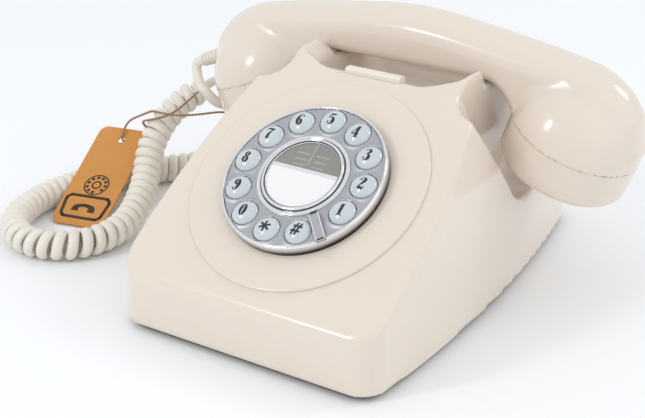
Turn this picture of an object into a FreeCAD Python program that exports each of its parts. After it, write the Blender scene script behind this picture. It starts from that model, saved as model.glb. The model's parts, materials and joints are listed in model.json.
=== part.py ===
import FreeCAD, Part
import math
import os
import re

import Sketcher

# A push-button desk telephone in the style of a dial telephone.
# Frame: +X to the viewer's right, +Y to the back, +Z up, millimetres.
# The origin is on the table under the middle of the telephone, its cord left out.

V = FreeCAD.Vector
AXES = {"X": V(1, 0, 0), "Y": V(0, 1, 0), "Z": V(0, 0, 1)}

# Driving sizes: name, value, meaning.  Numbers in millimetres or degrees, or formulas of them.
SIZES = [
    ("casing_depth", 238.0, "front face to rear face of the housing"),
    ("casing_half_width", 70.2, "half the width at the widest place"),
    ("side_arc", 800.0, "radius of the bowed sides in plan"),
    ("widest_back", 50.0, "widest place, behind the front face"),
    ("lean_arc", 250.0, "radius by which the sides lean in above the skirt"),
    ("front_corner", 13.75, "upright front corner radius"),
    ("rear_corner", 18.0, "upright rear corner radius"),
    ("casing_bottom", 3.1, "height of the housing's lower edge"),
    ("skirt_height", 29.08, "height of the crease between skirt and face"),
    ("crease_arc", 9.0, "rounding of the crease"),
    ("face_angle", 34.22, "slope of the face"),
    ("wall", 2.6, "housing wall"),
    ("horn_top", 113.5, "height of the cradle horns"),
    ("horn_arc", 2.3, "rounding over a horn"),
    ("cradle_back", 152.0, "handset line, behind the front face"),
    ("seat_height", 100.5, "height of the handset seats"),
    ("seat_half", 15.4, "half the seat's length, front to back"),
    ("seat_arc", 4.0, "rounding in the seat's corners"),
    ("horn_run", 5.2, "run of a horn's inner slope"),
    ("rear_horn_half", 31.0, "horn's outer edge, behind the handset line"),
    ("rear_skirt", 26.0, "height of the upright rear skirt"),
    ("cup_spread", 87.0, "ear cup centre, off the middle"),
    ("cup_arc", 32.0, "radius of an ear cup"),
    ("cup_seam", 79.0, "height of the cap's seam"),
    ("cup_tilt", 21.0, "tilt of an ear cup"),
    ("cup_dome", 30.0, "height of a cup above its seam"),
    ("cap_depth", 20.5, "depth of a cap below its seam"),
    ("cap_round", 5.5, "rounding of a cap's edge"),
    ("well_inner", "=cup_spread - 40.5", "inner wall of a side well"),
    ("well_angle", 37.2, "slope of a well's walls from upright"),
    ("well_apex", 27.4, "height where a well's walls would meet"),
    ("well_bottom_arc", 23.0, "rounding of a well's bottom"),
    ("well_corner", 15.0, "rounding between a well's walls"),
    ("trough_half", "=well_inner - 13.5", "half width of the finger trough at its floor"),
    ("trough_mouth", "=well_inner - 9.5", "half width of the finger trough at the seats"),
    ("trough_flare", "=well_inner + 3.5", "half width of the finger trough at the horns"),
    ("trough_front", "=well_inner - 23.7", "half width of the trough's straight front rim"),
    ("trough_swing", 0.4, "sweep back of that rim beyond its straight part, per unit of width"),
    ("trough_floor", 81.0, "height of the trough's floor"),
    ("face_length", 132.4, "crease to the face's top edge, up the slope"),
    ("lip_depth", 8.5, "sloping lip behind the face's top edge"),
    ("lip_drop", 3.0, "fall of that lip"),
    ("disc_arc", 57.6, "radius of the raised disc on the face"),
    ("disc_rise", 1.3, "height of the raised disc"),
    ("dial_up", 67.8, "dial centre, up the face from the crease"),
    ("dial_hole", 36.5, "radius of the hole under the dial"),
    ("case_wall", 1.2, "wall of the dial case"),
    ("case_depth", 9.0, "depth of the dial case below the face"),
    ("rim_arc", 39.5, "outer radius of the dial rim"),
    ("rim_wall", 1.3, "wall of the dial rim"),
    ("rim_height", 6.1, "height of the dial rim above the disc"),
    ("plate_top", 6.7, "top of the faceplate above the face"),
    ("plate_thick", 1.5, "thickness of the faceplate"),
    ("key_ring", 31.0, "radius of the ring of buttons"),
    ("key_arc", 6.25, "radius of a button"),
    ("key_first", -25.0, "angle of the first button"),
    ("key_gap", 40.0, "angle left open for the finger stop"),
    ("key_rise", 2.5, "crown of a button above the faceplate"),
    ("key_travel", 1.5, "travel of a button"),
    ("fit", 0.25, "clearance round sliding and dropped-in pieces"),
    ("centre_arc", 22.2, "outer radius of the centre ring"),
    ("label_arc", 17.5, "radius of the centre label"),
    ("board_thick", 1.6, "thickness of circuit boards"),
    ("bar_half", 15.0, "half length of the recall bar"),
    ("bar_thick", 5.6, "thickness of the recall bar"),
    ("plate_low", 1.9, "underside of the base plate"),
    ("base_thick", 2.6, "thickness of the base plate"),
    ("foot_arc", 8.0, "radius of a foot"),
    ("screw_arc", 1.5, "radius of a case screw"),
    ("yoke_low", 62.0, "underside of the hook yoke's bridge"),
    ("yoke_thick", 4.0, "thickness of that bridge"),
    ("plunger_thick", 2.0, "thickness of a cradle plunger"),
    ("plunger_half", 13.6, "half a cradle plunger's length"),
    ("guide_arc", 4.6, "outer radius of the yoke's guide"),
    ("gong_arc", 24.0, "radius of a gong"),
    ("gong_wall", 1.2, "wall of a gong"),
    ("gong_spread", 28.0, "gong centre, off the middle"),
    ("gong_back", 188.0, "gong centre, behind the front face"),
    ("gong_low", 18.0, "height of a gong's lip"),
    ("shell_wall", 2.5, "wall of the handset"),
    ("handle_under", 101.3, "height of the handle's underside"),
    ("handle_thick", 26.4, "thickness of the handle at its middle"),
    ("handle_width", 29.0, "width of the handle"),
    ("handle_round", 8.0, "rounding of the handle's upper long edges"),
    ("handle_under_round", 5.0, "rounding of the handle's lower long edges"),
    ("relief_tip", 2.9, "radius of a strain relief's tip"),
    ("relief_root", 3.5, "radius of a strain relief's root"),
    ("relief_length", 18.0, "length of a strain relief"),
    ("coil_arc", 7.75, "outer radius of the curly cord"),
    ("lead_arc", 2.4, "radius of the plain cord"),
    ("tag_wide", 31.0, "width of the swing tag"),
    ("tag_long", 71.0, "length of the swing tag"),
    ("tag_thick", 0.8, "thickness of the swing tag"),
    ("twine_arc", 0.6, "radius of the twine"),
]
ALIASES = {name for name, _, _ in SIZES}

doc = FreeCAD.newDocument("telephone")
sheet = doc.addObject("Spreadsheet::Sheet", "Sizes")
nodes = {}


def fill_sheet():
    """Write the driving sizes into the spreadsheet and name their cells."""
    for row, (name, value, meaning) in enumerate(SIZES, start=1):
        sheet.set(f"A{row}", name)
        sheet.set(f"B{row}", str(value))
        sheet.set(f"C{row}", meaning)
        sheet.setAlias(f"B{row}", name)
    doc.recompute()


def size(name):
    """The value of one cell."""
    return float(sheet.get(name))


def formula(text):
    """The expression with each size's name pointed at the spreadsheet."""
    return re.sub(r"[a-z_]+", lambda m: "Sizes." + m[0] if m[0] in ALIASES else m[0], str(text))


def number(text):
    """The value of an expression, for a starting position."""
    return float(sheet.evalExpression(formula(text)))


def bind(thing, prop, text):
    """Tie a property to an expression of the spreadsheet's sizes."""
    thing.setExpression(prop, formula(text))


def place(thing, x="0", y="0", z="0", axis="Z", angle="0"):
    """Put an object at bound coordinates, turned about one axis."""
    where = V(number(x), number(y), number(z))
    thing.Placement = FreeCAD.Placement(where, FreeCAD.Rotation(AXES[axis], number(angle)))
    for name, text in (("x", x), ("y", y), ("z", z)):
        bind(thing, f"Placement.Base.{name}", text)
    if str(angle) != "0":
        bind(thing, "Placement.Rotation.Angle", angle)
    return thing


def back(text):
    """Y of a place given behind the front face."""
    return f"{text} - casing_depth / 2"


def on_face(thing, across="0", up="0", proud="0"):
    """Put an object on the sloping face: its own Z is the face's outward normal."""
    y = back(f"({up}) * cos(face_angle) - ({proud}) * sin(face_angle)")
    z = f"skirt_height + ({up}) * sin(face_angle) + ({proud}) * cos(face_angle)"
    return place(thing, across, y, z, "X", "face_angle")


def keep(label, thing):
    """Name an object as a node to be written out."""
    thing.Label = label
    nodes[label] = thing
    return thing


# ---------------------------------------------------------------- Part helpers


def box(x, y, z, long, wide, high):
    """A Part::Box with bound sizes and place."""
    thing = doc.addObject("Part::Box", "block")
    for prop, text in (("Length", long), ("Width", wide), ("Height", high)):
        bind(thing, prop, text)
    return place(thing, x, y, z)


def cylinder(x, y, z, radius, high, axis="Z", angle="0"):
    """A Part::Cylinder with bound sizes and place."""
    thing = doc.addObject("Part::Cylinder", "round")
    bind(thing, "Radius", radius)
    bind(thing, "Height", high)
    return place(thing, x, y, z, axis, angle)


def cut(base, *tools):
    """Cut tools from a base, one Part::Cut each."""
    for tool in tools:
        thing = doc.addObject("Part::Cut", "cut")
        thing.Base = base
        thing.Tool = tool
        base = thing
    return base


def fuse(*things):
    """Join objects with a Part::MultiFuse."""
    thing = doc.addObject("Part::MultiFuse", "joined")
    thing.Shapes = list(things)
    return thing


def group(*things):
    """Hold separate solids in one Part::Compound."""
    thing = doc.addObject("Part::Compound", "set")
    thing.Links = list(things)
    return thing


def feature(shape):
    """A Part::Feature that holds a shape made with Part's own functions."""
    thing = doc.addObject("Part::Feature", "shape")
    thing.Shape = shape
    return thing


# ---------------------------------------------------------- PartDesign helpers


def new_body():
    """An empty PartDesign body."""
    return doc.addObject("PartDesign::Body", "body")


def new_sketch(body, plane):
    """A sketch on one of the body's own origin planes."""
    sketch = body.newObject("Sketcher::SketchObject", "sketch")
    origin = [f for f in body.Origin.OriginFeatures if f.Role == plane][0]
    sketch.AttachmentSupport = [(origin, "")]
    sketch.MapMode = "FlatFace"
    return sketch


def draw_outline(sketch, corners):
    """Draw a closed outline of straight lines, each corner bound to the sheet."""
    first = sketch.GeometryCount
    spots = [V(number(x), number(y), 0) for x, y in corners]
    count = len(spots)
    for i, spot in enumerate(spots):
        sketch.addGeometry(Part.LineSegment(spot, spots[(i + 1) % count]), False)
    for i, (x, y) in enumerate(corners):
        after = first + (i + 1) % count
        sketch.addConstraint(Sketcher.Constraint("Coincident", first + i, 2, after, 1))
        for kind, text in (("DistanceX", x), ("DistanceY", y)):
            rule = Sketcher.Constraint(kind, -1, 1, first + i, 1, number(text))
            bind(sketch, f"Constraints[{sketch.addConstraint(rule)}]", text)
    return sketch


def draw_circle(sketch, x, y, radius):
    """Draw a circle with bound centre and radius."""
    spot = V(number(x), number(y), 0)
    here = sketch.addGeometry(Part.Circle(spot, V(0, 0, 1), number(radius)), False)
    rule = Sketcher.Constraint("Radius", here, number(radius))
    bind(sketch, f"Constraints[{sketch.addConstraint(rule)}]", radius)
    for kind, text in (("DistanceX", x), ("DistanceY", y)):
        rule = Sketcher.Constraint(kind, -1, 1, here, 3, number(text))
        bind(sketch, f"Constraints[{sketch.addConstraint(rule)}]", text)
    return sketch


def pad(body, sketch, length):
    """Pad a sketch by a bound length."""
    thing = body.newObject("PartDesign::Pad", "pad")
    thing.Profile = sketch
    bind(thing, "Length", length)
    return thing


def pocket_through(body, sketch):
    """Pocket a sketch through the whole body, both ways."""
    thing = body.newObject("PartDesign::Pocket", "pocket")
    thing.Profile = sketch
    thing.Type = "ThroughAll"
    thing.Midplane = True
    return thing


def revolved(corners):
    """A body turned about its own Z from an outline of radius and height pairs."""
    body = new_body()
    sketch = draw_outline(new_sketch(body, "XZ_Plane"), corners)
    turn = body.newObject("PartDesign::Revolution", "turn")
    turn.Profile = sketch
    turn.ReferenceAxis = (sketch, ["V_Axis"])
    turn.Angle = 360
    return body


def polar(body, feature_name, count, angle):
    """Repeat a feature about the body's Z; the body's tip is moved to the pattern."""
    axis = [f for f in body.Origin.OriginFeatures if f.Role == "Z_Axis"][0]
    thing = body.newObject("PartDesign::PolarPattern", "ring")
    thing.Originals = [feature_name]
    thing.Axis = (axis, [""])
    thing.Occurrences = count
    bind(thing, "Angle", angle)
    body.Tip = thing
    return thing


def edge_names(shape, test):
    """Names of the edges that pass a test."""
    return [f"Edge{i}" for i, e in enumerate(shape.Edges, start=1) if test(e)]


def round_edges(body, base, test, radius):
    """Fillet the edges of a PartDesign feature that pass a test."""
    doc.recompute()
    thing = body.newObject("PartDesign::Fillet", "rounding")
    thing.Base = (base, edge_names(base.Shape, test))
    bind(thing, "Radius", radius)
    return thing


# --------------------------------------------------------------- wire helpers


def rounded_path(points, radii, closed):
    """Straight runs joined by tangent arcs; a radius of 0 keeps a corner sharp."""
    count = len(points)
    edges = []
    cursor = None
    first = None
    corners = range(count) if closed else range(1, count - 1)
    if not closed:
        cursor = points[0]
    for i in corners:
        before, corner, after = points[i - 1], points[i], points[(i + 1) % count]
        inward = (corner - before).normalize()
        outward = (after - corner).normalize()
        turn = inward.getAngle(outward)
        reach = radii[i] * math.tan(turn / 2)
        start = corner - inward * reach
        end = corner + outward * reach
        if cursor is not None and (start - cursor).Length > 1e-6:
            edges.append(Part.LineSegment(cursor, start).toShape())
        if reach > 1e-6:
            middle = (outward - inward).normalize()
            peak = corner + middle * (radii[i] / math.cos(turn / 2) - radii[i])
            edges.append(Part.Arc(start, peak, end).toShape())
        first = first or start
        cursor = end
    last = first if closed else points[-1]
    if (last - cursor).Length > 1e-6:
        edges.append(Part.LineSegment(cursor, last).toShape())
    return Part.Wire(edges)


def side_prism(outline, radii, half):
    """A prism across X from an outline of (y, z) corners."""
    points = [V(-half, y, z) for y, z in outline]
    face = Part.Face(rounded_path(points, radii, True))
    return face.extrude(V(2 * half, 0, 0))


def front_prism(outline, radii, low, high):
    """A prism along Y from an outline of (x, z) corners."""
    points = [V(x, low, z) for x, z in outline]
    face = Part.Face(rounded_path(points, radii, True))
    return face.extrude(V(0, high - low, 0))


def plan_prism(outline, radii, low, high):
    """An upright prism from an outline of (x, y) corners."""
    points = [V(x, y, low) for x, y in outline]
    face = Part.Face(rounded_path(points, radii, True))
    return face.extrude(V(0, 0, high - low))


def fillet(shape, radius, test):
    """Fillet the edges of a shape that pass a test."""
    return shape.makeFillet(radius, [e for e in shape.Edges if test(e)])


# ------------------------------------------------------------------- housing


def from_front(distance):
    """Y of a place given behind the front face, as a number."""
    return distance - size("casing_depth") / 2


def face_point(up, proud):
    """Y and Z of a place on the sloping face."""
    slope = math.radians(size("face_angle"))
    y = from_front(up * math.cos(slope) - proud * math.sin(slope))
    return y, size("skirt_height") + up * math.sin(slope) + proud * math.cos(slope)


def casing_block(inset, low, high):
    """The plan of the housing, its sides bowed and leaning in, set in from the outside."""
    reach = size("side_arc") - inset
    lean = size("lean_arc") - inset
    skirt = size("skirt_height")
    off = size("side_arc") - size("casing_half_width")
    turn = math.asin((high - skirt) / lean)
    shoulder = V(reach - lean + lean * math.cos(turn), 0, high)
    halfway = V(reach - lean + lean * math.cos(turn / 2), 0, skirt + lean * math.sin(turn / 2))
    edges = [
        Part.LineSegment(V(0, 0, low), V(reach, 0, low)).toShape(),
        Part.LineSegment(V(reach, 0, low), V(reach, 0, skirt)).toShape(),
        Part.Arc(V(reach, 0, skirt), halfway, shoulder).toShape(),
        Part.LineSegment(shoulder, V(0, 0, high)).toShape(),
        Part.LineSegment(V(0, 0, high), V(0, 0, low)).toShape(),
    ]
    wedge = Part.Face(Part.Wire(edges))
    wedge.rotate(V(0, 0, 0), AXES["Z"], -18)
    wedge = wedge.revolve(V(0, 0, 0), AXES["Z"], 36)
    right = wedge.copy()
    right.translate(V(-off, from_front(size("widest_back")), 0))
    left = right.mirror(V(0, 0, 0), AXES["X"])
    front = from_front(inset)
    rear = from_front(size("casing_depth") - inset)
    slab = Part.makeBox(400, rear - front, high - low, V(-200, front, low))
    block = slab.common(right).common(left)

    def upright_at(y):
        def test(edge):
            ends = [v.Point for v in edge.Vertexes]
            on_plane = all(abs(p.y - y) < 1e-3 for p in ends)
            return on_plane and abs(ends[0].z - ends[-1].z) > 1

        return test

    block = fillet(block, size("front_corner") - inset, upright_at(front))
    return fillet(block, size("rear_corner") - inset, upright_at(rear))


def casing_outline():
    """Side view of the housing: skirt, face, horns, seats and rear slope."""
    slope = math.radians(size("face_angle"))
    horn = size("horn_top")
    seat = size("seat_height")
    cradle = from_front(size("cradle_back"))
    half, run = size("seat_half"), size("horn_run")
    front = from_front(-0.05)
    rear = from_front(size("casing_depth") + 0.05)
    horn_front = from_front((horn - size("skirt_height")) / math.tan(slope))
    arc, corner = size("horn_arc"), size("seat_arc")
    points = [
        (front, size("casing_bottom"), 0),
        (front, size("skirt_height"), size("crease_arc")),
        (horn_front, horn, arc),
        (cradle - half - run, horn, arc),
        (cradle - half, seat, corner),
        (cradle + half, seat, corner),
        (cradle + half + run, horn, arc),
        (cradle + size("rear_horn_half"), horn, arc),
        (rear, size("rear_skirt"), size("crease_arc")),
        (rear, size("casing_bottom"), 0),
    ]
    return [(y, z) for y, z, _ in points], [r for _, _, r in points]


def well_cutter(side, grow):
    """Side well that an ear cup hangs in: leaning walls, round bottom, rounded inner wall."""
    slope = math.radians(size("well_angle"))
    cradle = from_front(size("cradle_back"))
    top = 140.0
    apex = size("well_apex") - grow / math.sin(slope)
    reach = (top - apex) * math.tan(slope)
    outline = [(cradle - reach, top), (cradle, apex), (cradle + reach, top)]
    arc = size("well_bottom_arc") + grow
    prism = side_prism(outline, [0, arc, 0], 60)
    inner = size("well_inner") - grow
    prism.translate(V(inner + 60, 0, 0))

    def inner_wall(edge):
        on_wall = all(abs(v.Point.x - inner) < 1e-6 for v in edge.Vertexes)
        return on_wall and min(v.Point.z for v in edge.Vertexes) < top - 1

    prism = fillet(prism, size("well_corner") + grow, inner_wall)
    return prism if side > 0 else prism.mirror(V(0, 0, 0), AXES["X"])


def trough_cutter(grow):
    """Finger trough between the seats: a lip swept back at its ends, then a deep channel."""
    lip, lip_top = face_point(size("face_length"), 0)
    floor = size("trough_floor") - grow
    top = 140.0
    cradle = from_front(size("cradle_back"))
    wall_top = lip + size("lip_depth") - grow
    low = lip_top - size("lip_drop") - grow
    far = 2 * cradle - wall_top
    lip -= grow
    side = [
        (lip, top),
        (lip, lip_top - grow),
        (wall_top, low),
        (wall_top + 3, floor),
        (far - 3, floor),
        (far, low),
        (far + 12, top),
    ]
    side_view = side_prism(side, [0, 0, 3, 10, 10, 3, 0], 90)
    deep = size("trough_half") + grow
    mouth = size("trough_mouth") + grow
    flare = size("trough_flare") + grow
    seat = size("seat_height") + 2
    horn = size("horn_top")
    right = [(deep, floor), (mouth, seat), (flare, horn), (flare, top)]
    left = [(-x, z) for x, z in reversed(right)]
    front_view = front_prism(right + left, [14, 8, 0, 0, 0, 0, 8, 14], lip - 1, far + 40)
    straight = size("trough_front") + grow
    wide = 60.0
    back_sweep = (wide - straight) * size("trough_swing")
    plan = [(wide, far + 20), (wide, lip + back_sweep), (straight, lip)]
    plan += [(-x, y) for x, y in reversed(plan)]
    sweep = plan_prism(plan, [0, 0, 30, 30, 0, 0], floor - 1, top)
    return side_view.common(front_view).common(sweep)


def cavity():
    """Room inside the housing, one wall in from every outside surface."""
    wall = size("wall")
    slope = math.radians(size("face_angle"))
    roof = size("seat_height") - wall
    front = from_front(wall)
    rear = from_front(size("casing_depth") - wall)
    crease = face_point((wall - wall * math.sin(slope)) / math.cos(slope), -wall)
    rise = (roof + wall * math.cos(slope) - size("skirt_height")) / math.sin(slope)
    bottom = size("casing_bottom") - 1
    cradle = from_front(size("cradle_back"))
    horn_y = cradle + size("rear_horn_half")
    run = from_front(size("casing_depth")) - horn_y
    fall = size("horn_top") - size("rear_skirt")
    steep = math.atan2(fall, run)
    rear_top = size("rear_skirt") - wall * math.tan((math.pi / 2 - steep) / 2)
    roof_y = rear - (roof - rear_top) / math.tan(steep)
    outline = [(front, bottom), crease, face_point(rise, -wall), (roof_y, roof)]
    outline += [(rear, rear_top), (rear, bottom)]
    room = side_prism(outline, [0, size("crease_arc") - wall, 0, 0, 0, 0], 90)
    room = room.common(casing_block(wall, bottom, roof + 1))
    for side in (1, -1):
        room = room.cut(well_cutter(side, wall))
    return room.cut(trough_cutter(wall))


def boss_places():
    """X, Y and top of the four screw bosses."""
    wide = size("casing_half_width") - 16
    return [
        (side * x, from_front(y), top)
        for x, y, top in ((wide, 17.0, 34.0), (wide - 18, 226.0, 30.0))
        for side in (-1, 1)
    ]


def face_cylinder(radius, low, high):
    """A cylinder about the dial's axis, between two heights over the face."""
    y, z = face_point(size("dial_up"), low)
    slope = math.radians(size("face_angle"))
    return Part.makeCylinder(radius, high - low, V(0, y, z), V(0, -math.sin(slope), math.cos(slope)))


def make_housing():
    """The outer shell with its cradle, raised disc, openings and screw bosses."""
    outline, radii = casing_outline()
    shell = side_prism(outline, radii, 90)
    shell = shell.common(casing_block(0, size("casing_bottom"), size("horn_top") + 5))
    for side in (1, -1):
        shell = shell.cut(well_cutter(side, 0))
    shell = shell.cut(trough_cutter(0))
    disc = face_cylinder(size("disc_arc"), -1, size("disc_rise"))
    rims = [e for e in disc.Edges if isinstance(e.Curve, Part.Circle)]
    rim = max(rims, key=lambda e: e.CenterOfMass.z)
    shell = shell.fuse(disc.makeFillet(0.7, [rim]))
    shell = shell.cut(cavity())
    for x, y, top in boss_places():
        low = size("plate_low") + size("base_thick")
        boss = Part.makeCylinder(4.2, top - low, V(x, y, low))
        bore = Part.makeCylinder(size("screw_arc") + 0.05, top - low - 3, V(x, y, low))
        shell = shell.fuse(boss).cut(bore)
    shell = shell.cut(face_cylinder(size("dial_hole"), -20, 5))
    gap = size("fit")
    bar_y, bar_z = face_point(size("face_length"), 0)
    slot = Part.makeBox(
        2 * (size("bar_half") + gap),
        size("bar_thick") + 2 * gap,
        30,
        V(-size("bar_half") - gap, bar_y - gap, bar_z - 20),
    )
    shell = shell.cut(slot)
    cradle = from_front(size("cradle_back"))
    thick = size("plunger_thick") + 2 * gap
    long = 2 * (size("plunger_half") + gap)
    for side in (1, -1):
        mid = side * plunger_offset()
        corner = V(mid - thick / 2, cradle - long / 2, size("seat_height") - 8)
        shell = shell.cut(Part.makeBox(thick, long, 12, corner))
    rear = from_front(size("casing_depth"))
    for x, half, low, high in (socket_window(), switch_window()):
        window = Part.makeBox(2 * half, 12, high - low, V(x - half, rear - 8, low))
        shell = shell.cut(window)
    start, heading = base_relief_start()
    shell = shell.cut(relief_bore(start, heading, 8))
    return keep("housing", feature(shell.removeSplitter()))


def plunger_offset():
    """Middle of a seat's ridge, where its plunger rises."""
    return (size("trough_mouth") + size("well_inner")) / 2 + 0.6


def socket_window():
    """Centre, half width, bottom and top of the line socket's window."""
    return -24.0, 6.6, 7.0, 17.0


def switch_window():
    """Centre, half width, bottom and top of the ringer switch's window."""
    return 24.0, 8.0, 9.0, 14.0


# ---------------------------------------------------------------------- base


def make_base():
    """Base plate with board posts, feet and case screws."""
    low = size("plate_low")
    top = low + size("base_thick")
    plate = casing_block(size("wall") + 0.3, low, size("skirt_height") + 20)
    keep_low = Part.makeBox(400, 400, size("base_thick"), V(-200, -200, low))
    plate = plate.common(keep_low)
    for x in (-34, 34):
        for y in (28, 72):
            post = Part.makeCylinder(3, 12 - top, V(x, from_front(y), top))
            plate = plate.fuse(post)
    for x, y, _ in boss_places():
        bore = Part.makeCylinder(size("screw_arc") + 0.05, 10, V(x, y, low - 1))
        sink = Part.makeCylinder(3.2, 1.2, V(x, y, low - 0.01))
        plate = plate.cut(bore).cut(sink)
    keep("base_plate", feature(plate))
    feet = []
    for x, y, _ in boss_places():
        spot_x = f"{math.copysign(1, x)} * (casing_half_width - {27 if y < 0 else 44})"
        spot_y = back("22" if y < 0 else "casing_depth - 26")
        feet.append(cylinder(spot_x, spot_y, "0", "foot_arc", "plate_low"))
    keep("rubber_feet", group(*feet))
    screws = []
    for x, y, top_z in boss_places():
        head = cylinder(x, y, "plate_low + 0.1", "3.0", "1.0")
        shank = cylinder(x, y, "plate_low + 1.1", "screw_arc", f"{top_z} - plate_low - 6")
        screws.append(fuse(head, shank))
    keep("case_screws", group(*screws))
    keep("ballast_weight", box("-45", back("88"), "plate_low + base_thick", "90", "34", "9"))


def make_boards():
    """Main circuit board on its posts, its parts and its screws."""
    board_z = "12"
    board = box("-40", back("22"), board_z, "80", "56", "board_thick")
    chips = [
        box(x, back(str(y)), f"{board_z} + board_thick", "14", "9", "3")
        for x, y in ((-30, 34), (-8, 34), (14, 50))
    ]
    keep("main_board", fuse(board, *chips))
    screws = []
    for x in (-34, 34):
        for y in (28, 72):
            screws.append(cylinder(x, back(str(y)), f"{board_z} + board_thick", "2.6", "1.4"))
    keep("board_screws", group(*screws))


# ---------------------------------------------------------------------- dial


def key_spots():
    """Angle and name of each button, counter-clockwise from the finger stop."""
    names = ["1", "2", "3", "4", "5", "6", "7", "8", "9", "0", "star", "hash"]
    step = (360 - size("key_gap")) / (len(names) - 1)
    return [(size("key_first") + i * step, name) for i, name in enumerate(names)]


def make_dial_case():
    """Tub in the housing's hole, its flange on the raised disc."""
    outer = "dial_hole - 0.2"
    inner = "dial_hole - 0.2 - case_wall"
    flange = "rim_arc - rim_wall - 0.1"
    floor = "0 - case_depth"
    tub = revolved(
        [
            ("0", floor),
            (outer, floor),
            (outer, "disc_rise"),
            (flange, "disc_rise"),
            (flange, "disc_rise + case_wall - 0.2"),
            (inner, "disc_rise + case_wall - 0.2"),
            (inner, "0 - case_depth + 4.1"),
            ("0", "0 - case_depth + 4.1"),
        ]
    )
    keep("dial_case", on_face(tub, up="dial_up"))
    board = revolved(disc_outline("dial_hole - case_wall - 0.5", "4.1 - case_depth", "board_thick"))
    keep("keypad_board", on_face(board, up="dial_up"))
    mat_low = "4.1 - case_depth + board_thick"
    mat = revolved(disc_outline("dial_hole - case_wall - 0.5", mat_low, "1.5"))
    keep("keypad_mat", on_face(mat, up="dial_up"))


def disc_outline(radius, low, thick):
    """Outline of a plain disc about Z."""
    high = f"{low} + {thick}"
    return [("0", low), (radius, low), (radius, high), ("0", high)]


def make_dial_front():
    """Chrome rim, faceplate with twelve lipped holes, centre ring, label and finger stop."""
    inner = "rim_arc - rim_wall"
    top = "disc_rise + rim_height"
    rim = revolved(
        [
            (inner, "disc_rise"),
            ("rim_arc", "disc_rise"),
            ("rim_arc", f"{top} - 1.4"),
            ("rim_arc - 0.3", f"{top} - 0.5"),
            ("rim_arc - 0.8", top),
            (inner, top),
        ]
    )
    keep("dial_rim", on_face(rim, up="dial_up"))

    body = new_body()
    plate_low = "plate_top - plate_thick"
    disc = draw_circle(new_sketch(body, "XY_Plane"), "0", "0", f"{inner} - 0.05")
    bind(disc, "AttachmentOffset.Base.z", plate_low)
    pad(body, disc, "plate_thick")
    across = "key_ring * cos(key_first)"
    up = "key_ring * sin(key_first)"
    lip = draw_circle(new_sketch(body, "XY_Plane"), across, up, "key_arc + 0.85")
    bind(lip, "AttachmentOffset.Base.z", "plate_top - 0.1")
    raised = pad(body, lip, "0.7")
    turn = "(360 - key_gap)"
    polar(body, raised, 12, turn)
    hole = draw_circle(new_sketch(body, "XY_Plane"), across, up, "key_arc + fit")
    bored = pocket_through(body, hole)
    polar(body, bored, 12, turn)
    keep("dial_faceplate", on_face(body, up="dial_up"))

    step = "plate_top"
    ring = revolved(
        [
            ("label_arc + 0.1", step),
            ("centre_arc", step),
            ("centre_arc", f"{step} + 0.9"),
            ("centre_arc - 1.0", f"{step} + 1.3"),
            ("centre_arc - 2.2", f"{step} + 1.3"),
            ("centre_arc - 2.6", f"{step} + 2.0"),
            ("label_arc + 0.7", f"{step} + 2.0"),
            ("label_arc + 0.1", f"{step} + 1.5"),
        ]
    )
    keep("centre_ring", on_face(ring, up="dial_up"))
    label = revolved(disc_outline("label_arc", "plate_top", "0.9"))
    keep("centre_label", on_face(label, up="dial_up"))

    tongue = box("23.7", "-2.4", "disc_rise + rim_height + 0.05", "rim_arc - 23.2", "4.8", "1.1")
    foot = box("24.5", "-1.6", "plate_top", "11", "3.2", "disc_rise + rim_height + 0.3 - plate_top")
    stop = fuse(tongue, foot)
    stop.Placement = FreeCAD.Placement(V(0, 0, 0), FreeCAD.Rotation(AXES["Z"], -48.1))
    carrier = doc.addObject("Part::Compound", "stop")
    carrier.Links = [stop]
    keep("finger_stop", on_face(carrier, up="dial_up"))


def make_buttons():
    """Twelve domed buttons, each with a retaining flange and a stem."""
    step = "((360 - key_gap) / 11)"
    under = "plate_top - plate_thick - 0.3"
    crown = "plate_top + key_rise"
    for i, (_, name) in enumerate(key_spots()):
        angle = f"(key_first + {i} * {step})"
        key = revolved(
            [
                ("0", "0"),
                ("2.2", "0"),
                ("2.2", f"{under} - 0.8"),
                ("key_arc + 0.65", f"{under} - 0.8"),
                ("key_arc + 0.65", under),
                ("key_arc", under),
                ("key_arc", "plate_top + 0.6"),
                ("key_arc * 0.93", f"{crown} - key_rise * 0.45"),
                ("key_arc * 0.72", f"{crown} - key_rise * 0.18"),
                ("key_arc * 0.38", f"{crown} - key_rise * 0.04"),
                ("0", crown),
            ]
        )
        up = f"dial_up + key_ring * sin({angle})"
        keep(f"button_{name}", on_face(key, f"key_ring * cos({angle})", up))


def make_recall():
    """Recall bar behind the face's top edge and the switch under it."""
    edge_y = back("face_length * cos(face_angle)")
    edge_z = "skirt_height + face_length * sin(face_angle)"
    body = new_body()
    low = "0 - 11.5"
    side = new_sketch(body, "YZ_Plane")
    draw_outline(
        side,
        [
            ("0", low),
            ("bar_thick", low),
            ("bar_thick", "0.6"),
            ("bar_thick - 1.4", "1.9"),
            ("1.2", "1.9"),
            ("0", "1.0"),
        ],
    )
    bind(side, "AttachmentOffset.Base.z", "0 - bar_half")
    pad(body, side, "2 * bar_half")
    keep("recall_bar", place(body, "0", edge_y, edge_z))
    switch_z = f"{edge_z} - 11.5 - key_travel - 8.3"
    keep("recall_switch", box("-8", f"{edge_y} - 0.5", switch_z, "16", "bar_thick + 1.2", "8"))


# ------------------------------------------------------------ hook mechanism


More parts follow.
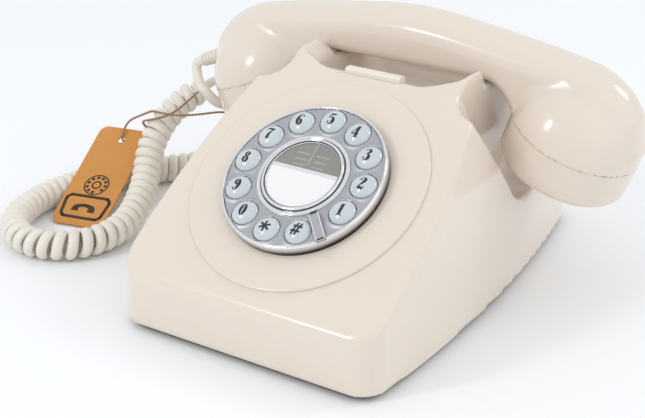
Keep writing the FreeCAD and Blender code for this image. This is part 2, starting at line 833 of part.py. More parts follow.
def make_hook():
    """Yoke with its two saddle plungers, its guide tube, spring and switch."""
    cradle = from_front(size("cradle_back"))
    low = size("yoke_low")
    bridge_top = low + size("yoke_thick")
    thick = size("plunger_thick")
    half = size("plunger_half")
    mid = plunger_offset()
    bridge = Part.makeBox(2 * mid + thick, 14, size("yoke_thick"), V(-mid - thick / 2, cradle - 7, low))
    top = size("handle_under") - 0.3
    saddle = [
        (cradle - 6, low),
        (cradle + 6, low),
        (cradle + 6, 78),
        (cradle + half, 86),
        (cradle + half, top + 0.8),
        (cradle + 8, top),
        (cradle - 8, top),
        (cradle - half, top + 0.8),
        (cradle - half, 86),
        (cradle - 6, 78),
    ]
    yoke = bridge
    for side in (1, -1):
        leg = side_prism(saddle, [0] * len(saddle), thick / 2)
        leg.translate(V(side * mid, 0, 0))
        yoke = yoke.fuse(leg)
    rod = Part.makeCylinder(2.5, low - 24, V(0, cradle, 24))
    keep("hook_yoke", feature(yoke.fuse(rod).removeSplitter()))

    guide_low = size("plate_low") + size("base_thick")
    guide = Part.makeCylinder(size("guide_arc"), 46 - guide_low, V(0, cradle, guide_low))
    flange = Part.makeCylinder(5.8, 2.4, V(0, cradle, guide_low))
    bore = Part.makeCylinder(2.55, 46 - 8, V(0, cradle, 8.2))
    keep("hook_guide", feature(guide.fuse(flange).cut(bore).removeSplitter()))

    spring_low, spring_high = 46.0 + 0.5, low - 0.5
    rise = spring_high - spring_low
    helix = Part.makeHelix(rise / 5, rise, 4.0)
    section = Part.Wire(Part.Circle(V(4.0, 0, 0), V(0, 1, 0.2), 0.5).toShape())
    coil = Part.Wire(helix).makePipeShell([section], True, True)
    coil.translate(V(0, cradle, spring_low))
    keep("hook_spring", feature(coil))

    keep("hook_switch", box("12", back("cradle_back - 12"), "plate_low + base_thick", "14", "12", "54"))


# ---------------------------------------------------------------------- bell


def make_bell():
    """Two gongs on posts, a pair of coils on a frame and the clapper between the gongs."""
    floor = "plate_low + base_thick"
    high = "gong_low + 10"
    for side, name in ((-1, "gong_left"), (1, "gong_right")):
        gong = revolved(
            [
                ("2.6", f"{high} - gong_wall"),
                ("gong_arc * 0.5", f"{high} - gong_wall"),
                ("gong_arc * 0.82", f"{high} - 2.6 - gong_wall * 0.5"),
                ("gong_arc - gong_wall", "gong_low + 2.5"),
                ("gong_arc - gong_wall", "gong_low"),
                ("gong_arc", "gong_low"),
                ("gong_arc", "gong_low + 3"),
                ("gong_arc * 0.86", f"{high} - 1.8"),
                ("gong_arc * 0.52", high),
                ("2.6", high),
            ]
        )
        keep(name, place(gong, f"{side} * gong_spread", back("gong_back")))
    posts = []
    for side in (-1, 1):
        x, y = f"{side} * gong_spread", back("gong_back")
        stem = cylinder(x, y, floor, "2.5", f"{high} + 0.2 - ({floor})")
        collar = cylinder(x, y, floor, "4.2", f"{high} - gong_wall - 0.1 - ({floor})")
        head = cylinder(x, y, f"{high} + 0.1", "4.5", "2.4")
        posts.append(fuse(stem, collar, head))
    keep("gong_posts", group(*posts))

    plate = box("-20", back("158"), floor, "40", "10", "2")
    yoke = box("-17", back("158"), "25", "34", "8", "2")
    web = box("-3", back("158"), floor, "6", "4", f"26 - ({floor})")
    lift = box("-3", back("158"), "25", "6", "6", "6")
    arm = box("-3", back("158"), "30.4", "6", "15", "3")
    pin = cylinder("0", back("171"), "25.5", "1.2", "6.4")
    keep("ringer_frame", fuse(plate, yoke, web, arm, lift, pin))
    coils = [
        cylinder(x, back("163"), f"{floor} + 2.1", "5", f"24.9 - ({floor}) - 2.1")
        for x in ("-12", "12")
    ]
    keep("ringer_coils", group(*coils))

    rod = box("-0.8", back("171"), "27", "1.6", "gong_back - 171", "1.6")
    hub = cylinder("0", back("171"), "26", "2.6", "4")
    ball = doc.addObject("Part::Sphere", "ball")
    bind(ball, "Radius", "2.5")
    place(ball, "0", back("gong_back"), "24.6")
    hanger = cylinder("0", back("gong_back"), "25", "0.8", "3")
    hole = cylinder("0", back("171"), "25", "1.25", "6")
    keep("clapper", cut(fuse(rod, hub, ball, hanger), hole))


# ----------------------------------------------------------------- rear panel


def make_rear_panel():
    """Line socket and ringer volume switch behind their windows."""
    x, half, low, high = socket_window()
    gap = size("fit")
    shell = box(x - half + gap, back("casing_depth - 16"), low + gap, 2 * (half - gap), "15.6", high - low - 2 * gap)
    hollow = box(x - half + 1.6, back("casing_depth - 12"), low + 1.6, 2 * half - 3.2, "14", high - low - 3.2)
    shelf = box(x - half + gap, back("casing_depth - 16"), "plate_low + base_thick", 2 * (half - gap), "8", "4")
    keep("line_socket", cut(fuse(shell, shelf), hollow))
    x, half, low, high = switch_window()
    frame = box(x - 7.5, back("casing_depth - 10"), "plate_low + base_thick", "15", "4", "13")
    keep("ringer_switch", frame)
    stem = box(x - 3, back("casing_depth - 5.7"), low + gap, "6", "5.5", high - low - 2 * gap)
    keep("ringer_knob", stem)


# ------------------------------------------------------------------- handset


def cup_place(side):
    """Placement of a cup: its own Z runs up its axis from the seam."""
    spot = V(side * size("cup_spread"), from_front(size("cradle_back")), size("cup_seam"))
    return FreeCAD.Placement(spot, FreeCAD.Rotation(AXES["Y"], side * size("cup_tilt")))


def dome(inset, side):
    """Ball over a cup's seam, set in from the outside; the seam plane cuts it later."""
    wide, high = size("cup_arc"), size("cup_dome")
    radius = (wide**2 + high**2) / (2 * high)
    ball = Part.makeSphere(radius - inset, V(0, 0, high - radius), V(0, 1, 0))
    ball.Placement = cup_place(side)
    return ball


# Fall of the handle's arch below its top, against the distance beyond a cup's centre.
ARCH_FALL = [(32.0, 35.2), (28.0, 28.3), (22.7, 22.1), (16.0, 17.4), (9.5, 14.1), (1.0, 11.7)]


def handle_bar(inset, reach):
    """Arched bar of the handle, its long edges rounded, set in from the outside."""
    under = size("handle_under") + inset
    top = size("handle_under") + size("handle_thick") - inset
    spread = size("cup_spread")
    half = size("handle_width") / 2 - inset
    mid = from_front(size("cradle_back"))
    low = mid - half
    arch = Part.BSplineCurve()
    shape = [(-spread - x, top - fall) for x, fall in ARCH_FALL if x <= reach]
    end, foot = -shape[0][0], shape[0][1]
    shape += [(-0.62 * spread, top - 5.8), (0, top)]
    shape += [(-x, z) for x, z in reversed(shape[:-1])]
    arch.interpolate([V(x, low, z) for x, z in shape])
    heel = min(foot - 15, under - 19)
    bottom = [(end, heel), (0.71 * spread, under - 19), (0.57 * spread, under)]
    bottom += [(-x, z) for x, z in reversed(bottom)]
    points = [V(x, low, z) for x, z in bottom]
    runs = rounded_path(points, [0, 8, 12, 12, 8, 0], False).Edges
    ends = [
        Part.LineSegment(V(end, low, foot), points[0]).toShape(),
        Part.LineSegment(points[-1], V(-end, low, foot)).toShape(),
    ]
    wire = Part.Wire(Part.__sortEdges__([arch.toShape(), ends[0], *runs, ends[1]]))
    bar = Part.Face(wire).extrude(V(0, 2 * half, 0))

    def long_edge(above):
        def test(edge):
            spread_y = abs(edge.Vertexes[0].Point.y - edge.Vertexes[-1].Point.y)
            upper = isinstance(edge.Curve, Part.BSplineCurve)
            upright = abs(edge.Vertexes[0].Point.x - edge.Vertexes[-1].Point.x) < 1e-3
            return spread_y < 1e-6 and not upright and upper == above

        return test

    bar = fillet(bar, size("handle_round") - inset, long_edge(True))
    return fillet(bar, size("handle_under_round") - inset / 2, long_edge(False))


def make_handset_shell():
    """One-piece handset shell: arched handle blended into two domed cups."""
    wall = size("shell_wall")
    shell = handle_bar(0, 32)
    hollow = handle_bar(wall + 1, 9.5)
    for side in (1, -1):
        shell = shell.fuse(dome(0, side))
        hollow = hollow.fuse(dome(wall, side))
        below = Part.makeCylinder(60, 60, V(0, 0, -60))
        below.Placement = cup_place(side)
        shell = shell.cut(below)
        hollow = hollow.cut(below)
        mouth = Part.makeCylinder(size("cup_arc") - wall, 2, V(0, 0, -1))
        mouth.Placement = cup_place(side)
        hollow = hollow.fuse(mouth)
    shell = shell.cut(hollow)
    start, heading = relief_start()
    shell = shell.cut(relief_bore(start, heading, 8))
    keep("handset_shell", feature(shell.removeSplitter()))


def make_caps():
    """Ear cap and mouth cap with their hole patterns, and the capsules inside."""
    names = ((1, "ear_cap", "ear_capsule"), (-1, "mouth_cap", "mouth_capsule"))
    for side, cap_name, capsule_name in names:
        inner = "cup_arc - shell_wall"
        deep = "0 - cap_depth"
        body = revolved(
            [
                ("0", deep),
                ("cup_arc - cap_round", deep),
                ("cup_arc - cap_round * 0.38", f"{deep} + cap_round * 0.21"),
                ("cup_arc - cap_round * 0.07", f"{deep} + cap_round * 0.66"),
                ("cup_arc", f"{deep} + cap_round * 1.3"),
                ("cup_arc", "0 - 0.15"),
                (f"{inner} - 0.85", "0 - 0.15"),
                (f"{inner} - 0.85", "4.0"),
                (f"{inner} - 2.2", "4.0"),
                (f"{inner} - 2.2", f"{deep} + 2.6 + cap_round"),
                (f"{inner} - 4.5", f"{deep} + 2.6"),
                ("0", f"{deep} + 2.6"),
            ]
        )
        middle = draw_circle(new_sketch(body, "XY_Plane"), "0", "0", "1.2")
        pocket_through(body, middle)
        for count, radius in ((6, "6.5"), (12, "13")):
            hole = draw_circle(new_sketch(body, "XY_Plane"), radius, "0", "1.2")
            bored = pocket_through(body, hole)
            polar(body, bored, count, "360")
        keep(cap_name, place_cup(body, side))
        capsule = revolved(disc_outline(f"{inner} - 5", "3 - cap_depth", "9"))
        keep(capsule_name, place_cup(capsule, side))
    x, y = "-24", back("cradle_back - 6")
    keep("handset_weight", box(x, y, "handle_under + shell_wall + 1.2", "48", "12", "11"))


def place_cup(thing, side):
    """Put an object in a cup's frame with bound coordinates."""
    return place(
        thing, f"{side} * cup_spread", back("cradle_back"), "cup_seam", "Y", f"{side} * cup_tilt"
    )


def relief_start():
    """Where the cord leaves the mouth cup, and its heading."""
    outer = size("cup_spread") + ARCH_FALL[0][0]
    spot = V(-outer, from_front(size("cradle_back")), size("cup_seam") + 3.6)
    return spot, V(-0.924, 0, -0.382).normalize()


def side_half_width(y):
    """Half width of the housing's skirt at a Y."""
    reach = size("side_arc")
    behind = y - from_front(size("widest_back"))
    return math.sqrt(reach**2 - behind**2) - reach + size("casing_half_width")


def base_relief_start():
    """Where the cord enters the housing's left side, and its heading on the way out."""
    y = from_front(BASE_EXIT_BACK)
    return V(-side_half_width(y), y, 12.0), V(-1, 0, -0.08).normalize()


def relief_bore(start, heading, depth):
    """Bore that a strain relief's shank sits in."""
    return Part.makeCylinder(size("relief_root") + 0.05, 2 * depth, start - heading * depth, heading)


def relief_shape(start, heading, shank):
    """Tapered strain relief with ribs, on a shank that sits in its bore."""
    long = size("relief_length")
    root, tip = size("relief_root"), size("relief_tip")
    shape = Part.makeCylinder(root, shank, V(0, 0, -shank))
    shape = shape.fuse(Part.makeCone(root, tip, long, V(0, 0, 0)))
    first, pitch, ribs = 2.2, 2.5, 6
    for i in range(ribs):
        low = first + i * pitch
        width = root + (tip - root) * low / long + 0.7
        shape = shape.fuse(Part.makeCylinder(width, 1.2, V(0, 0, low)))
    shape = shape.removeSplitter()
    shape.Placement = FreeCAD.Placement(start, FreeCAD.Rotation(AXES["Z"], heading))
    return shape


# ---------------------------------------------------------------------- cord


def tube(points, radius, name):
    """A round tube along straight runs joined by the largest arcs the runs allow."""
    runs = [(b - a).Length for a, b in zip(points, points[1:])]
    radii = [0.0] * len(points)
    for i in range(1, len(points) - 1):
        turn = (points[i] - points[i - 1]).getAngle(points[i + 1] - points[i])
        radii[i] = 0.45 * min(runs[i - 1], runs[i]) / math.tan(turn / 2)
    path = rounded_path(points, radii, False)
    start = points[1] - points[0]
    section = Part.Wire(Part.Circle(points[0], start, radius).toShape())
    solid = path.makePipeShell([section], True, False)
    expected = math.pi * radius**2 * path.Length
    print(
        name,
        "radii", [round(r, 1) for r in radii[1:-1]],
        "length", round(path.Length, 1),
        "volume share", round(solid.Volume / expected, 4),
    )
    return solid


# Routes: x, distance behind the front face, z.
LEAD_ROUTE = [
    (-139.2, 151.5, 70.5),
    (-134.0, 146.5, 65.0),
    (-127.5, 144.0, 61.5),
    (-122.5, 147.0, 55.5),
    (-120.5, 153.0, 52.5),
    (-122.5, 160.0, 53.5),
    (-128.0, 165.5, 57.5),
    (-135.0, 166.0, 61.2),
]
COIL_ROUTE = [
    (-138.0, 156.0, 58.8),
    (-139.8, 150.5, 56.8),
    (-144.5, 141.5, 51.5),
    (-148.0, 130.0, 43.0),
    (-146.5, 117.5, 32.0),
    (-138.5, 104.0, 20.0),
    (-131.5, 88.5, 13.5),
    (-127.0, 72.0, 9.0),
    (-127.0, 56.0, 8.0),
    (-132.5, 42.0, 8.0),
    (-144.0, 33.0, 8.0),
    (-158.5, 31.5, 8.0),
    (-172.5, 38.0, 8.0),
    (-183.0, 50.0, 8.0),
    (-188.5, 66.0, 8.0),
    (-190.0, 83.0, 8.0),
    (-187.5, 101.0, 8.0),
    (-181.0, 119.0, 8.0),
    (-170.5, 135.0, 8.0),
    (-158.0, 150.0, 8.0),
    (-146.5, 165.5, 8.0),
    (-133.5, 180.5, 8.0),
    (-118.5, 193.0, 8.0),
    (-101.5, 201.0, 8.2),
]
TAIL_ROUTE = [(-92.4, 205.3, 8.4)]
BASE_EXIT_BACK = 207.5
LEAD_GAP = 0.6


def spots(route):
    """Route points in the model's frame."""
    return [V(x, from_front(y), z) for x, y, z in route]


def make_cord():
    """Handset cord: plain lead, curly coil and plain tail, with a strain relief at each end."""
    start, heading = relief_start()
    keep("relief_handset", feature(relief_shape(start, heading, 5)))
    tip = start + heading * size("relief_length")
    coil_points = spots(COIL_ROUTE)
    into_coil = (coil_points[1] - coil_points[0]).normalize()
    lead_end = coil_points[0] - into_coil * LEAD_GAP
    lead = [tip, tip + heading * 3.5, *spots(LEAD_ROUTE), lead_end - into_coil * 4, lead_end]
    keep("cord_lead", feature(tube(lead, size("lead_arc"), "lead")))
    keep("cord_coil", feature(tube(coil_points, size("coil_arc"), "coil")))
    leave, out = base_relief_start()
    keep("relief_base", feature(relief_shape(leave, out, 5)))
    end = leave + out * size("relief_length")
    out_of_coil = (coil_points[-1] - coil_points[-2]).normalize()
    tail = [coil_points[-1] + out_of_coil * LEAD_GAP, *spots(TAIL_ROUTE), end + out * 7, end]
    keep("cord_tail", feature(tube(tail, size("lead_arc"), "tail")))


# ----------------------------------------------------------------------- tag

TAG_CORNER = (-175.6, 67.3, 0.9)
TAG_YAW = 12.9
TAG_LEAN = 63.0
TAG_HOLE_DOWN = 8.5
TWINE_OUT = [
    (-130.5, 141.6, 61.5),
    (-132.5, 133.0, 57.0),
    (-137.5, 126.0, 51.5),
    (-146.0, 121.5, 48.5),
    (-154.5, 121.5, 46.0),
    (-158.5, 129.0, 39.5),
    (-162.5, 137.0, 34.8),
    (-168.0, 133.0, 29.0),
]
TWINE_BACK = [
    (-175.4, 132.2, 36.2),
    (-172.0, 133.0, 40.0),
    (-157.0, 130.0, 47.8),
    (-149.0, 124.6, 52.0),
    (-141.5, 122.8, 52.8),
    (-131.5, 125.0, 52.5),
    (-121.5, 131.0, 53.5),
    (-114.0, 140.5, 53.8),
    (-114.5, 149.0, 49.5),
    (-118.8, 153.0, 49.2),
]


def make_tag():
    """Card tag with rounded corners and an eyelet hole, tied on with twine."""
    body = new_body()
    flat = new_sketch(body, "XY_Plane")
    draw_outline(flat, [("0", "0"), ("tag_wide", "0"), ("tag_wide", "tag_long"), ("0", "tag_long")])
    card = pad(body, flat, "tag_thick")
    round_edges(body, card, lambda e: abs(e.Vertexes[0].Z - e.Vertexes[-1].Z) > 0.1, "5")
    hole = draw_circle(
        new_sketch(body, "XY_Plane"), "tag_wide / 2", f"tag_long - {TAG_HOLE_DOWN}", "2"
    )
    pocket_through(body, hole)
    turn = FreeCAD.Rotation(AXES["Z"], TAG_YAW).multiply(FreeCAD.Rotation(AXES["X"], 90 - TAG_LEAN))
    body.Placement = FreeCAD.Placement(spots([TAG_CORNER])[0], turn)
    keep("swing_tag", body)
    over = body.Placement.multVec(V(size("tag_wide") / 2, size("tag_long") - TAG_HOLE_DOWN + 0.9, 2.2))
    through = over - turn.multVec(V(0, 0, 4.6))
    route = [*spots(TWINE_OUT), through, over, *spots(TWINE_BACK)]
    keep("tag_twine", feature(tube(route, size("twine_arc"), "twine")))


# --------------------------------------------------------------------- build


def check_and_write():
    """Refuse a failed object, then write each node's shape."""
    for thing in doc.Objects:
        if {"Invalid", "Error"} & set(thing.State):
            raise RuntimeError(f"{thing.Label} failed: {thing.State}")
    os.makedirs("parts", exist_ok=True)
    for label, thing in nodes.items():
        shape = thing.Shape
        if shape.isNull() or not shape.isValid() or not shape.Solids:
            raise RuntimeError(f"{label} has no valid solid")
        shape.exportStep(f"parts/{label}.step")
    print(len(nodes), "nodes written")


fill_sheet()
make_housing()
make_base()
make_boards()
make_dial_case()
make_dial_front()
make_buttons()
make_recall()
make_hook()
make_bell()
make_rear_panel()
make_handset_shell()
make_caps()
make_cord()
make_tag()
doc.recompute()
check_and_write()
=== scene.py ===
"""Looks of a push-button desk telephone in dial styling.

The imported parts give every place. Each class builds one sub-assembly: the moulded shells, the dial,
the curly cord, the swing tag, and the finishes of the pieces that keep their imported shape.
"""

from __future__ import annotations

import json
import logging
import math
from dataclasses import dataclass, field
from enum import Enum
from functools import cache
from typing import Callable, Iterable, Sequence

import bpy
import numpy as np
from mathutils import Matrix, Vector

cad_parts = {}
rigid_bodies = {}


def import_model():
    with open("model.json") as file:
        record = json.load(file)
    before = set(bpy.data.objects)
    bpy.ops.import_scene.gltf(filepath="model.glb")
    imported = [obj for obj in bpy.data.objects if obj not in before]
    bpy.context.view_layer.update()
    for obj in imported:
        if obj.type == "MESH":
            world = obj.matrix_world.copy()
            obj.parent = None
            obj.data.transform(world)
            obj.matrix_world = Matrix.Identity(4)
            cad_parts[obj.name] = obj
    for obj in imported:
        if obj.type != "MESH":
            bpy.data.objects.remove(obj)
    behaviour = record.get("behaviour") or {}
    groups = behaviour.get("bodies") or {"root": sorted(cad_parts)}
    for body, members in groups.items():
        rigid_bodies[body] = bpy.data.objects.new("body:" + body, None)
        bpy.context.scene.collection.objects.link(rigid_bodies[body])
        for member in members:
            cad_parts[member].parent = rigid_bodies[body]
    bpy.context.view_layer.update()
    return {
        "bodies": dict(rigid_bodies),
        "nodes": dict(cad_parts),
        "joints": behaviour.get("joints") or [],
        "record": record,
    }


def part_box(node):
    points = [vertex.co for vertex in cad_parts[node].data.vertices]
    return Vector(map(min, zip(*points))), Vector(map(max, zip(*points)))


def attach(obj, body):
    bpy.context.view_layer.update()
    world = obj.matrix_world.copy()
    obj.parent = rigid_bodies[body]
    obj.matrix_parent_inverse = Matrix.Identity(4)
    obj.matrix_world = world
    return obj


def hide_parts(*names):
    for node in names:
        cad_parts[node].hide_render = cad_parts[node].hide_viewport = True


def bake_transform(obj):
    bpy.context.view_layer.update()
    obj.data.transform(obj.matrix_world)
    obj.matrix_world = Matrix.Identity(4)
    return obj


LOG = logging.getLogger("telephone")
MM = 0.001
TINY = 1e-9
Triple = tuple[float, float, float]
Colour = Triple
Points = np.ndarray
Distance = Callable[[np.ndarray], np.ndarray]


# ---- shader maths


class Wire:
    """A node's output, with arithmetic that adds Math nodes."""

    def __init__(self, paint: "Paint", socket: bpy.types.NodeSocket) -> None:
        """Keep the material being built and the output."""
        self.paint = paint
        self.socket = socket

    def _math(self, operation: str, *inputs: "Wire | float") -> "Wire":
        """One Math node on these inputs."""
        return self.paint.node("ShaderNodeMath", {"operation": operation}, *inputs)

    def __add__(self, other: "Wire | float") -> "Wire":
        """Sum."""
        return self._math("ADD", self, other)

    def __radd__(self, other: float) -> "Wire":
        """Sum, the number first."""
        return self._math("ADD", other, self)

    def __sub__(self, other: "Wire | float") -> "Wire":
        """Difference."""
        return self._math("SUBTRACT", self, other)

    def __rsub__(self, other: float) -> "Wire":
        """Difference, the number first."""
        return self._math("SUBTRACT", other, self)

    def __mul__(self, other: "Wire | float") -> "Wire":
        """Product."""
        return self._math("MULTIPLY", self, other)

    def __rmul__(self, other: float) -> "Wire":
        """Product, the number first."""
        return self._math("MULTIPLY", other, self)

    def __lt__(self, other: "Wire | float") -> "Wire":
        """1 where this is less."""
        return self._math("LESS_THAN", self, other)

    def __gt__(self, other: "Wire | float") -> "Wire":
        """1 where this is more."""
        return self._math("GREATER_THAN", self, other)

    def size(self) -> "Wire":
        """Absolute value."""
        return self._math("ABSOLUTE", self)


class Paint:
    """A material being built: its Principled shader and the one way to add a node."""

    def __init__(self, name: str) -> None:
        """Start a material.

        Args:
            name: The material's name.
        """
        self.material = bpy.data.materials.new(name)
        self.material.use_nodes = True
        self.tree = self.material.node_tree
        self.shader = self.tree.nodes["Principled BSDF"]

    def node(self, kind: str, settings: dict | None = None, *inputs: object, out: int | str = 0) -> Wire:
        """Add a node.

        Args:
            kind: The node's type.
            settings: Properties, set before the sockets; "stops" fills a colour ramp.
            inputs: Values or wires for the node's sockets in order; None leaves one alone.
            out: Name or number of the output.

        Returns:
            The output as a wire.
        """
        node = self.tree.nodes.new(kind)
        for key, value in (settings or {}).items():
            if key == "stops":
                ramp = node.color_ramp
                while len(ramp.elements) < len(value):
                    ramp.elements.new(0.5)
                for element, (place, colour) in zip(ramp.elements, value):
                    element.position, element.color = place, (*colour, 1.0)
            else:
                setattr(node, key, value)
        for socket, value in zip([s for s in node.inputs if s.enabled], inputs):
            self.feed(socket, value)
        return Wire(self, node.outputs[out])

    def feed(self, socket: bpy.types.NodeSocket, value: object) -> None:
        """Link a wire to a socket, or set its value.

        Args:
            socket: The node's input.
            value: A wire, a number, a vector or a colour; None leaves the socket alone.
        """
        if value is None:
            return
        if isinstance(value, Wire):
            self.tree.links.new(value.socket, socket)
        elif isinstance(value, tuple) and socket.type == "RGBA":
            socket.default_value = (*value, 1.0)
        else:
            socket.default_value = value

    def set(self, **sockets: object) -> None:
        """Feed the shader's sockets, named with underscores for spaces."""
        for name, value in sockets.items():
            self.feed(self.shader.inputs[name.replace("_", " ")], value)

    def place(self) -> Wire:
        """Place on the piece, in metres."""
        return self.node("ShaderNodeTexCoord", out="Object")

    def noise(self, scale: float, detail: float = 3.0, stretch: Triple | None = None) -> Wire:
        """Cloudy pattern.

        Args:
            scale: Cycles per metre.
            detail: How many finer layers it has.
            stretch: Factors of the scale along the three axes, if they differ.

        Returns:
            The pattern, from 0 to 1.
        """
        where = self.place()
        if stretch:
            where = self.node("ShaderNodeVectorMath", {"operation": "MULTIPLY"}, where, stretch)
        return self.node("ShaderNodeTexNoise", {}, where, scale, detail, 0.55, out="Fac")

    def along(self, direction: Vector, origin: Vector) -> Wire:
        """Distance of the place from an origin along a direction, in metres.

        Args:
            direction: A unit vector.
            origin: Where the distance is 0.

        Returns:
            The distance, in metres.
        """
        settings = {"operation": "DOT_PRODUCT"}
        dot = self.node("ShaderNodeVectorMath", settings, self.place(), tuple(direction), out="Value")
        return dot - origin.dot(direction)

    def mix(self, factor: Wire | float, first: Wire | Colour, second: Wire | Colour) -> Wire:
        """Mix two colours.

        Args:
            factor: Share of the second, 0 to 1.
            first: Colour or wire where the factor is 0.
            second: Colour or wire where the factor is 1.

        Returns:
            The mixed colour.
        """
        node = self.tree.nodes.new("ShaderNodeMix")
        node.data_type = "RGBA"
        for socket, value in ((node.inputs[0], factor), (node.inputs[6], first), (node.inputs[7], second)):
            self.feed(socket, value)
        return Wire(self, node.outputs[2])

    def bump(self, height: Wire, depth: float) -> None:
        """Bump the surface by a height pattern, its depth in metres."""
        self.set(Normal=self.node("ShaderNodeBump", {}, 1.0, depth, None, height, out="Normal"))


def shade(colour: Colour, factor: float) -> Colour:
    """A colour made darker or lighter."""
    return tuple(min(1.0, c * factor) for c in colour)


# ---- finishes


@dataclass(frozen=True)
class Plastic:
    """Moulded plastic: clouded colour, faint moulding ripple and handling haze in the gloss."""

    name: str
    colour: Colour
    roughness: float = 0.16
    coat: float = 0.5
    cloud: float = 0.03
    ripple: float = 0.00002
    cloud_scale: float = 22.0
    haze_scale: float = 60.0
    haze: float = 0.08
    ripple_scale: float = 140.0
    grain_scale: float = 900.0
    grain: float = 0.03

    def material(self) -> bpy.types.Material:
        """Build the material.

        Returns:
            The material.
        """
        paint = Paint(self.name)
        cloud = paint.noise(self.cloud_scale)
        grain = paint.noise(self.grain_scale, 2.0)
        dark, light = shade(self.colour, 1 - self.cloud), shade(self.colour, 1 + self.cloud)
        paint.set(
            Base_Color=paint.mix(cloud, dark, light),
            Roughness=self.roughness + paint.noise(self.haze_scale, 4.0) * self.haze + grain * self.grain,
            Coat_Weight=self.coat,
            Coat_Roughness=0.06,
            IOR=1.5,
        )
        paint.bump(paint.noise(self.ripple_scale, 1.0) + grain * 0.15, self.ripple)
        return paint.material


@dataclass(frozen=True)
class Metal:
    """Metal: smudged gloss and a faint brushed or cast grain."""

    name: str
    colour: Colour
    roughness: float = 0.12
    smudge: float = 0.1
    metallic: float = 1.0
    grain: float = 500.0
    ripple: float = 0.00001
    smudge_scale: float = 90.0

    def material(self) -> bpy.types.Material:
        """Build the material.

        Returns:
            The material.
        """
        paint = Paint(self.name)
        smudge = paint.noise(self.smudge_scale, 4.0)
        grain = paint.noise(self.grain, 2.0, (1.0, 0.15, 0.15))
        paint.set(
            Base_Color=paint.mix(smudge, shade(self.colour, 0.94), shade(self.colour, 1.04)),
            Metallic=self.metallic,
            Roughness=self.roughness + smudge * self.smudge,
        )
        paint.bump(grain, self.ripple)
        return paint.material


@dataclass(frozen=True)
class Fibre:
    """Card, cord jacket or twine: fibres, flecks and a soft dull surface."""

    name: str
    colour: Colour
    dark: Colour
    scale: float = 1500.0
    roughness: float = 0.85
    depth: float = 0.0001
    fleck: float = 0.35
    sheen: float = 0.0
    gloss: float = 0.15

    def material(self) -> bpy.types.Material:
        """Build the material.

        Returns:
            The material.
        """
        paint = Paint(self.name)
        threads = paint.noise(self.scale, 5.0, (1.0, 0.22, 0.5))
        cloud = paint.noise(self.scale * 0.06, 3.0)
        spots = paint.noise(self.scale * 1.7, 2.0) > 0.66
        base = paint.mix(threads * 0.7 + cloud * 0.3, self.dark, self.colour)
        paint.set(
            Base_Color=paint.mix(spots * self.fleck, base, shade(self.dark, 0.55)),
            Roughness=self.roughness + threads * 0.1,
            Sheen_Weight=self.sheen,
            Specular_IOR_Level=self.gloss,
            Sheen_Roughness=0.6,
        )
        paint.bump(threads, self.depth)
        return paint.material


class Finish(Enum):
    """Every named finish of the telephone."""

    IVORY = Plastic("ivory_plastic", (0.765, 0.672, 0.575), 0.15, 0.55, 0.012)
    PALE = Plastic("pale_bar_plastic", (0.83, 0.76, 0.66), 0.22, 0.4, 0.012)
    JACKET = Plastic("cord_jacket", (0.80, 0.755, 0.67), 0.38, 0.1, 0.03, 0.00004)
    KEY = Plastic("key_plastic", (0.55, 0.605, 0.625), 0.1, 0.9, 0.02, 0.000005)
    CLEAR = Plastic("clear_plastic", (0.80, 0.79, 0.76), 0.08, 0.8, 0.02)
    BLACK = Plastic("black_plastic", (0.025, 0.025, 0.027), 0.35, 0.2, 0.1)
    GREY = Plastic("grey_plastic", (0.22, 0.22, 0.23), 0.4, 0.1, 0.06)
    INK = Plastic("printing_ink", (0.012, 0.012, 0.014), 0.3, 0.3, 0.05, 0.000002)
    TAG_INK = Plastic("tag_ink", (0.045, 0.028, 0.02), 0.7, 0.0, 0.15, 0.00001)
    RUBBER = Plastic("rubber", (0.03, 0.03, 0.032), 0.75, 0.0, 0.15, 0.00006)
    MAT = Plastic("keypad_rubber", (0.42, 0.43, 0.45), 0.6, 0.0, 0.05)
    BOARD = Plastic("circuit_board", (0.03, 0.16, 0.07), 0.35, 0.3, 0.12)
    CHROME = Metal("chrome", (0.80, 0.80, 0.81), 0.05, 0.06)
    SATIN = Metal("satin_plate", (0.46, 0.465, 0.485), 0.38, 0.06, 0.75, 700.0, 0.000012)
    STEEL = Metal("zinc_steel", (0.58, 0.58, 0.57), 0.32, 0.15)
    BRASS = Metal("brass", (0.72, 0.52, 0.22), 0.22, 0.15)
    COPPER = Metal("copper_wire", (0.70, 0.33, 0.18), 0.3, 0.1, 1.0, 2600.0, 0.00012)
    IRON = Metal("cast_iron", (0.20, 0.20, 0.20), 0.55, 0.2, 0.9, 900.0, 0.0001)
    CARD = Fibre("kraft_card", (0.70, 0.335, 0.105), (0.56, 0.25, 0.07), 1500.0, 0.9, 0.00008, 0.25)
    TWINE = Fibre("brown_twine", (0.47, 0.29, 0.15), (0.27, 0.155, 0.075), 5200.0, 0.9, 0.0002, 0.2, 0.3)

    @cache
    def material(self) -> bpy.types.Material:
        """The finish's material, built once."""
        return self.value.material()


